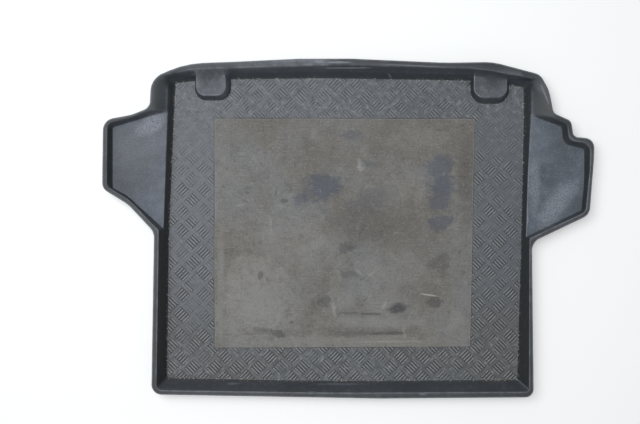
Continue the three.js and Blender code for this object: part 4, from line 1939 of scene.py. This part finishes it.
@dataclass(frozen=True)
class MatRubber:
    """Warm grey rubber, dusty and stained by what was carried on it, with a painted highlight along its cut
    edge.
    """

    field: Colour = (124, 125, 125)
    brown: Colour = (115, 113, 108)
    pale: Colour = (146, 146, 144)
    wet: Colour = (84, 90, 103)
    dark: Colour = (74, 74, 78)
    scratch: Colour = (172, 170, 166)
    relief: Relief = (0.3, 0.0008)
    rough: tuple[float, float] = (0.78, 0.92)
    gloss: float = 0.25
    wet_smears: tuple[Smear, ...] = (
        Smear((-64, 110), (50, 40), 0, 0.68, 0.7),
        Smear((-112, 84), (34, 18), 30, 0.5, 0.8),
        Smear((246, 164), (37, 33), 0, 0.62, 0.6),
        Smear((250, 112), (39, 39), 0, 0.68, 0.6),
        Smear((240, 72), (30, 25), 0, 0.62, 0.6),
        Smear((244, 17), (35, 27), 0, 0.58, 0.9),
        Smear((12, 246), (28, 14), 0, 0.35),
        Smear((59, 169), (37, 10), 0, 0.3),
        Smear((60, 75), (60, 28), 20, 0.3, 0.7, 0.5),
    )
    dark_smears: tuple[Smear, ...] = (
        Smear((132, -212), (26, 13), 5, 0.8),
        Smear((230, -197), (24, 16), 0, 0.55),
        Smear((-4, -53), (26, 15), 15, 0.5, 0.9),
        Smear((-66, -194), (31, 13), 0, 0.5, 0.9),
        Smear((56, -227), (27, 3.5), 0, 0.55, 0.9),
        Smear((4, -225), (34, 3.5), 0, 0.35, 1.0),
        Smear((-186, -279), (25, 11), -8, 0.6, 0.8),
        Smear((-222, -271), (26, 8), -5, 0.4, 0.9),
        Smear((-253, -280), (30, 3), 0, 0.3, 0.9),
        Smear((112, -278), (62, 4.5), 1, 0.55, 0.9),
        Smear((8, -281), (60, 8), 1, 0.35, 1.0),
        Smear((-168, 71), (12, 7), 0, 0.45, 1.0),
        Smear((-229, -126), (8, 11), 0, 0.5, 1.0),
        Smear((244, -93), (34, 26), 0, 0.3, 0.9),
        Smear((6, -124), (28, 12), 0, 0.3),
        Smear((35, 5), (75, 52), 0, 0.3, 0.7, 0.6),
        Smear((125, 20), (60, 40), 0, 0.15, 0.7, 0.6),
        Smear((318, 140), (24, 120), 0, 0.3, 0.5, 0.6),
        Smear((-262, 93), (5, 4), 0, 0.5, 0.9),
        Smear((-148, -250), (6, 4), 0, 0.5, 0.9),
    )
    pale_smears: tuple[Smear, ...] = (
        Smear((-240, -190), (100, 120), 10, 0.75, 0.6, 0.6),
        Smear((-150, -40), (150, 70), 0, 0.35, 0.7, 0.6),
        Smear((86, -249), (170, 16), 0, 0.5, 0.5, 0.5),
        Smear((20, -300), (340, 20), 0, 0.5, 0.5, 0.5),
        Smear((-335, -150), (12, 170), 0, 0.5, 0.3, 0.5),
        Smear((200, 240), (60, 34), 0, 0.3, 0.9, 0.6),
        Smear((250, -250), (80, 60), 0, 0.35, 0.7, 0.6),
        Smear((150, -110), (60, 60), 0, 0.3, 0.7, 0.6),
        Smear((130, 120), (50, 60), 30, 0.25, 0.8, 0.6),
        Smear((85, -175), (46, 90), 0, 0.35, 0.7, 0.6),
        Smear((35, 164), (12, 9), 0, 0.7, 0.9),
        Smear((-30, -190), (60, 30), 0, 0.35, 0.6, 0.6),
    )
    scratches: tuple[Smear, ...] = (
        Smear((214, -177), (25, 2.2), -8, 0.8, 0.15),
        Smear((-35, -217), (5, 24), 8, 0.35, 0.8, 0.6),
        Smear((30, 166), (5, 15), 6, 0.35, 1.0, 0.7),
        Smear((28, -115), (15, 2.5), -45, 0.35, 0.9, 0.6),
        Smear((62, -122), (14, 3), 40, 0.3, 0.9, 0.6),
        Smear((96, -205), (5, 12), -30, 0.4, 0.9, 0.6),
        Smear((-203, 12), (3, 18), 0, 0.25, 0.9, 0.6),
        Smear((-286, 60), (14, 3), 15, 0.25, 0.9, 0.6),
        Smear((150, -277), (4, 18), 12, 0.3, 0.8, 0.6),
        Smear((120, -300), (90, 2.5), 1, 0.35, 0.7, 0.5),
    )
    scribbles: tuple[Smear, ...] = (
        Smear((40, -135), (9, 1.5), 20, 0.6, 0.4),
        Smear((45, -190), (8, 2), 35, 0.5, 0.5),
        Smear((38, -205), (6, 1.5), 60, 0.5, 0.5),
        Smear((-268, 70), (12, 1.6), -20, 0.45, 0.5),
        Smear((-190, 92), (10, 2), 70, 0.5, 0.6),
        Smear((-150, 100), (9, 6), 10, 0.35, 0.8),
        Smear((-262, 106), (10, 5), 0, 0.3, 0.8),
        Smear((-30, -75), (10, 1.5), 60, 0.5, 0.5),
        Smear((10, -62), (12, 1.5), -30, 0.5, 0.5),
    )
    brown_smears: tuple[Smear, ...] = (
        Smear((312, 110), (26, 170), 0, 0.75, 0.6, 0.6),
        Smear((130, 225), (200, 60), 0, 0.5, 0.7, 0.6),
        Smear((200, -60), (120, 110), 0, 0.4, 0.7, 0.6),
    )

    def build(self) -> bpy.types.Material:
        """Builds the material.

        Returns:
            The material.
        """
        material, sheet = blank_finish("mat_rubber_finish")
        sheet.place = sheet.node("ShaderNodeTexCoord").outputs["Object"]
        mottle = sheet.noise(38.0, 5, 0.68)
        colour = self._stained(sheet, mottle)
        colour, lines = self._scratched(sheet, colour)
        # Painted highlight along the cut edge.
        edge = sheet.mark("edge")
        colour = sheet.colour(sheet.times(edge, 0.5), colour, self.pale)

        weave = sheet.noise(700.0, 2, 0.6)
        nubs = sheet.noise(160.0, 4, 0.7)
        height = sheet.plus(sheet.times(weave, 0.5), sheet.times(nubs, 0.8))
        height = sheet.minus(height, sheet.times(lines, 0.25))
        rough = sheet.remap(mottle, 0.3, 0.7, self.rough)
        sheet.surface(colour, rough, height, self.relief, self.gloss)
        return material

    def _stained(self, sheet: NodeSheet, mottle: Socket) -> Socket:
        """Colours the rubber in clouds, and lays the stains over them.

        Args:
            sheet: The material's nodes.
            mottle: Small clouds round one half.

        Returns:
            The colour.
        """
        clouds = sheet.remap(sheet.noise(5.0, 5, 0.62, 0.5), 0.4, 0.62)
        colour = sheet.colour(clouds, self.brown, self.field)
        smudges = sheet.noise(16.0, 4, 0.6, 0.8)
        colour = sheet.colour(sheet.remap(smudges, 0.54, 0.7, (0.0, 0.22)), colour, self.dark)
        colour = sheet.colour(sheet.remap(smudges, 0.46, 0.3, (0.0, 0.35)), colour, self.pale)
        colour = sheet.colour(smeared(sheet, self.brown_smears), colour, self.brown)
        colour = sheet.colour(smeared(sheet, self.pale_smears), colour, self.pale)
        colour = sheet.colour(sheet.remap(mottle, 0.52, 0.78, (0.0, 0.4)), colour, self.dark)
        colour = sheet.colour(sheet.remap(mottle, 0.48, 0.25, (0.0, 0.35)), colour, self.pale)
        weave = sheet.noise(190.0, 4, 0.75)
        colour = sheet.colour(sheet.remap(weave, 0.5, 0.75, (0.0, 0.5)), colour, self.dark)
        colour = sheet.colour(sheet.remap(weave, 0.5, 0.25, (0.0, 0.6)), colour, self.pale)
        colour = sheet.colour(smeared(sheet, self.wet_smears), colour, self.wet)
        return sheet.colour(smeared(sheet, self.dark_smears), colour, self.dark)

    def _scratched(self, sheet: NodeSheet, colour: Socket) -> tuple[Socket, Socket]:
        """Draws scuffs along and across the mat.

        Args:
            sheet: The material's nodes.
            colour: The colour so far.

        Returns:
            The new colour, and the dark lines.
        """
        level = Scratches.placed(sheet, Along=16.0, Across=260.0, Rare=0.6)
        across = sheet.turned(sheet.place, math.radians(88))
        upright = Scratches.placed(sheet, Place=across, Along=18.0, Across=260.0, Rare=0.62)
        lines = sheet.higher(level, upright)
        colour = sheet.colour(sheet.times(lines, 0.16), colour, self.dark)
        light = Scratches.placed(sheet, Along=30.0, Across=300.0, Rare=0.64)
        lint = Flecks.placed(sheet, Size=0.006, Share=0.12)
        bright = sheet.higher(sheet.times(light, 0.25), sheet.times(lint, 0.4))
        bright = sheet.higher(bright, smeared(sheet, self.scratches))
        colour = sheet.colour(smeared(sheet, self.scribbles), colour, self.dark)
        return sheet.colour(bright, colour, self.scratch), lines


@dataclass(frozen=True)
class StudioFloor:
    """A plain white floor that keeps the object's shadow."""

    paper: Colour = (232, 235, 237)
    shown_white: float = 0.3

    def build(self) -> bpy.types.Material:
        """Builds the material.

        Returns:
            The material.
        """
        material, sheet = blank_finish("studio_floor_paper")
        paper = sheet.node("ShaderNodeBsdfDiffuse", {"Color": written(*self.paper)})
        ray = sheet.node("ShaderNodeLightPath").outputs
        seen = sheet.higher(ray["Is Camera Ray"], ray["Is Glossy Ray"])
        seen = sheet.higher(seen, ray["Is Transmission Ray"])
        strength = sheet.times(seen, self.shown_white)
        glow = sheet.node("ShaderNodeEmission", {"Color": (1.0, 1.0, 1.0, 1.0), "Strength": strength})
        both = sheet.node("ShaderNodeAddShader", {0: paper.outputs[0], 1: glow.outputs[0]})
        sheet.node("ShaderNodeOutputMaterial", {"Surface": both.outputs[0]})
        return material


@dataclass
class Studio:
    """The camera that looks down on the tray, the floor it lies on and the soft light above."""

    eye: tuple[float, float, float] = (-0.073, 0.0422, 2.1)
    lens: float = 44.6
    lamp_place: tuple[float, float, float] = (-0.85, 0.55, 2.9)
    lamp_size: tuple[float, float] = (1.6, 2.4)
    lamp_power: float = 68.0
    ambient: float = 0.28
    floor_half: float = 12.0
    floor_z: float = -0.0006

    def build(self) -> None:
        """Sets up the camera, the floor, the lamp and the world."""
        scene = bpy.context.scene
        camera = bpy.data.cameras.new("studio_camera")
        camera.lens = self.lens
        holder = bpy.data.objects.new("studio_camera", camera)
        holder.location = self.eye
        scene.collection.objects.link(holder)
        scene.camera = holder

        half, level = self.floor_half, self.floor_z
        mesh = bpy.data.meshes.new("studio_floor")
        corners = [(-half, -half, level), (half, -half, level), (half, half, level), (-half, half, level)]
        mesh.from_pydata(corners, [], [(0, 1, 2, 3)])
        mesh.materials.append(StudioFloor().build())
        floor = bpy.data.objects.new("studio_floor", mesh)
        scene.collection.objects.link(floor)

        light = bpy.data.lights.new("soft_lamp", "AREA")
        light.shape = "RECTANGLE"
        light.size, light.size_y = self.lamp_size
        light.energy = self.lamp_power
        lamp = bpy.data.objects.new("soft_lamp", light)
        lamp.location = self.lamp_place
        aim = Vector((0.0, 0.0, 0.0)) - Vector(self.lamp_place)
        lamp.rotation_euler = aim.to_track_quat("-Z", "Y").to_euler()
        scene.collection.objects.link(lamp)

        world = bpy.data.worlds.new("studio_world")
        world.use_nodes = True
        sky = world.node_tree.nodes["Background"]
        sky.inputs["Color"].default_value = (1.0, 1.0, 1.0, 1.0)
        sheet = NodeSheet(world.node_tree)
        seen = sheet.node("ShaderNodeLightPath").outputs["Is Camera Ray"]
        sheet.feed(sky.inputs["Strength"], sheet.higher(seen, self.ambient))
        scene.world = world
        scene.view_settings.view_transform = "Standard"


def main() -> None:
    """Builds the tray, the mat and the studio, and notes how large the result is."""
    logging.basicConfig(level=logging.INFO, format="%(name)s: %(message)s")
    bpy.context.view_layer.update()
    tray = LinerTray().build(TrayPlastic().build())
    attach(tray, "root")
    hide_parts("liner_tray")
    sheet = AntiSlipMat().build(MatRubber().build())
    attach(sheet, "root")
    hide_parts("anti_slip_mat")
    Studio().build()


if __name__ == "__main__":
    main()
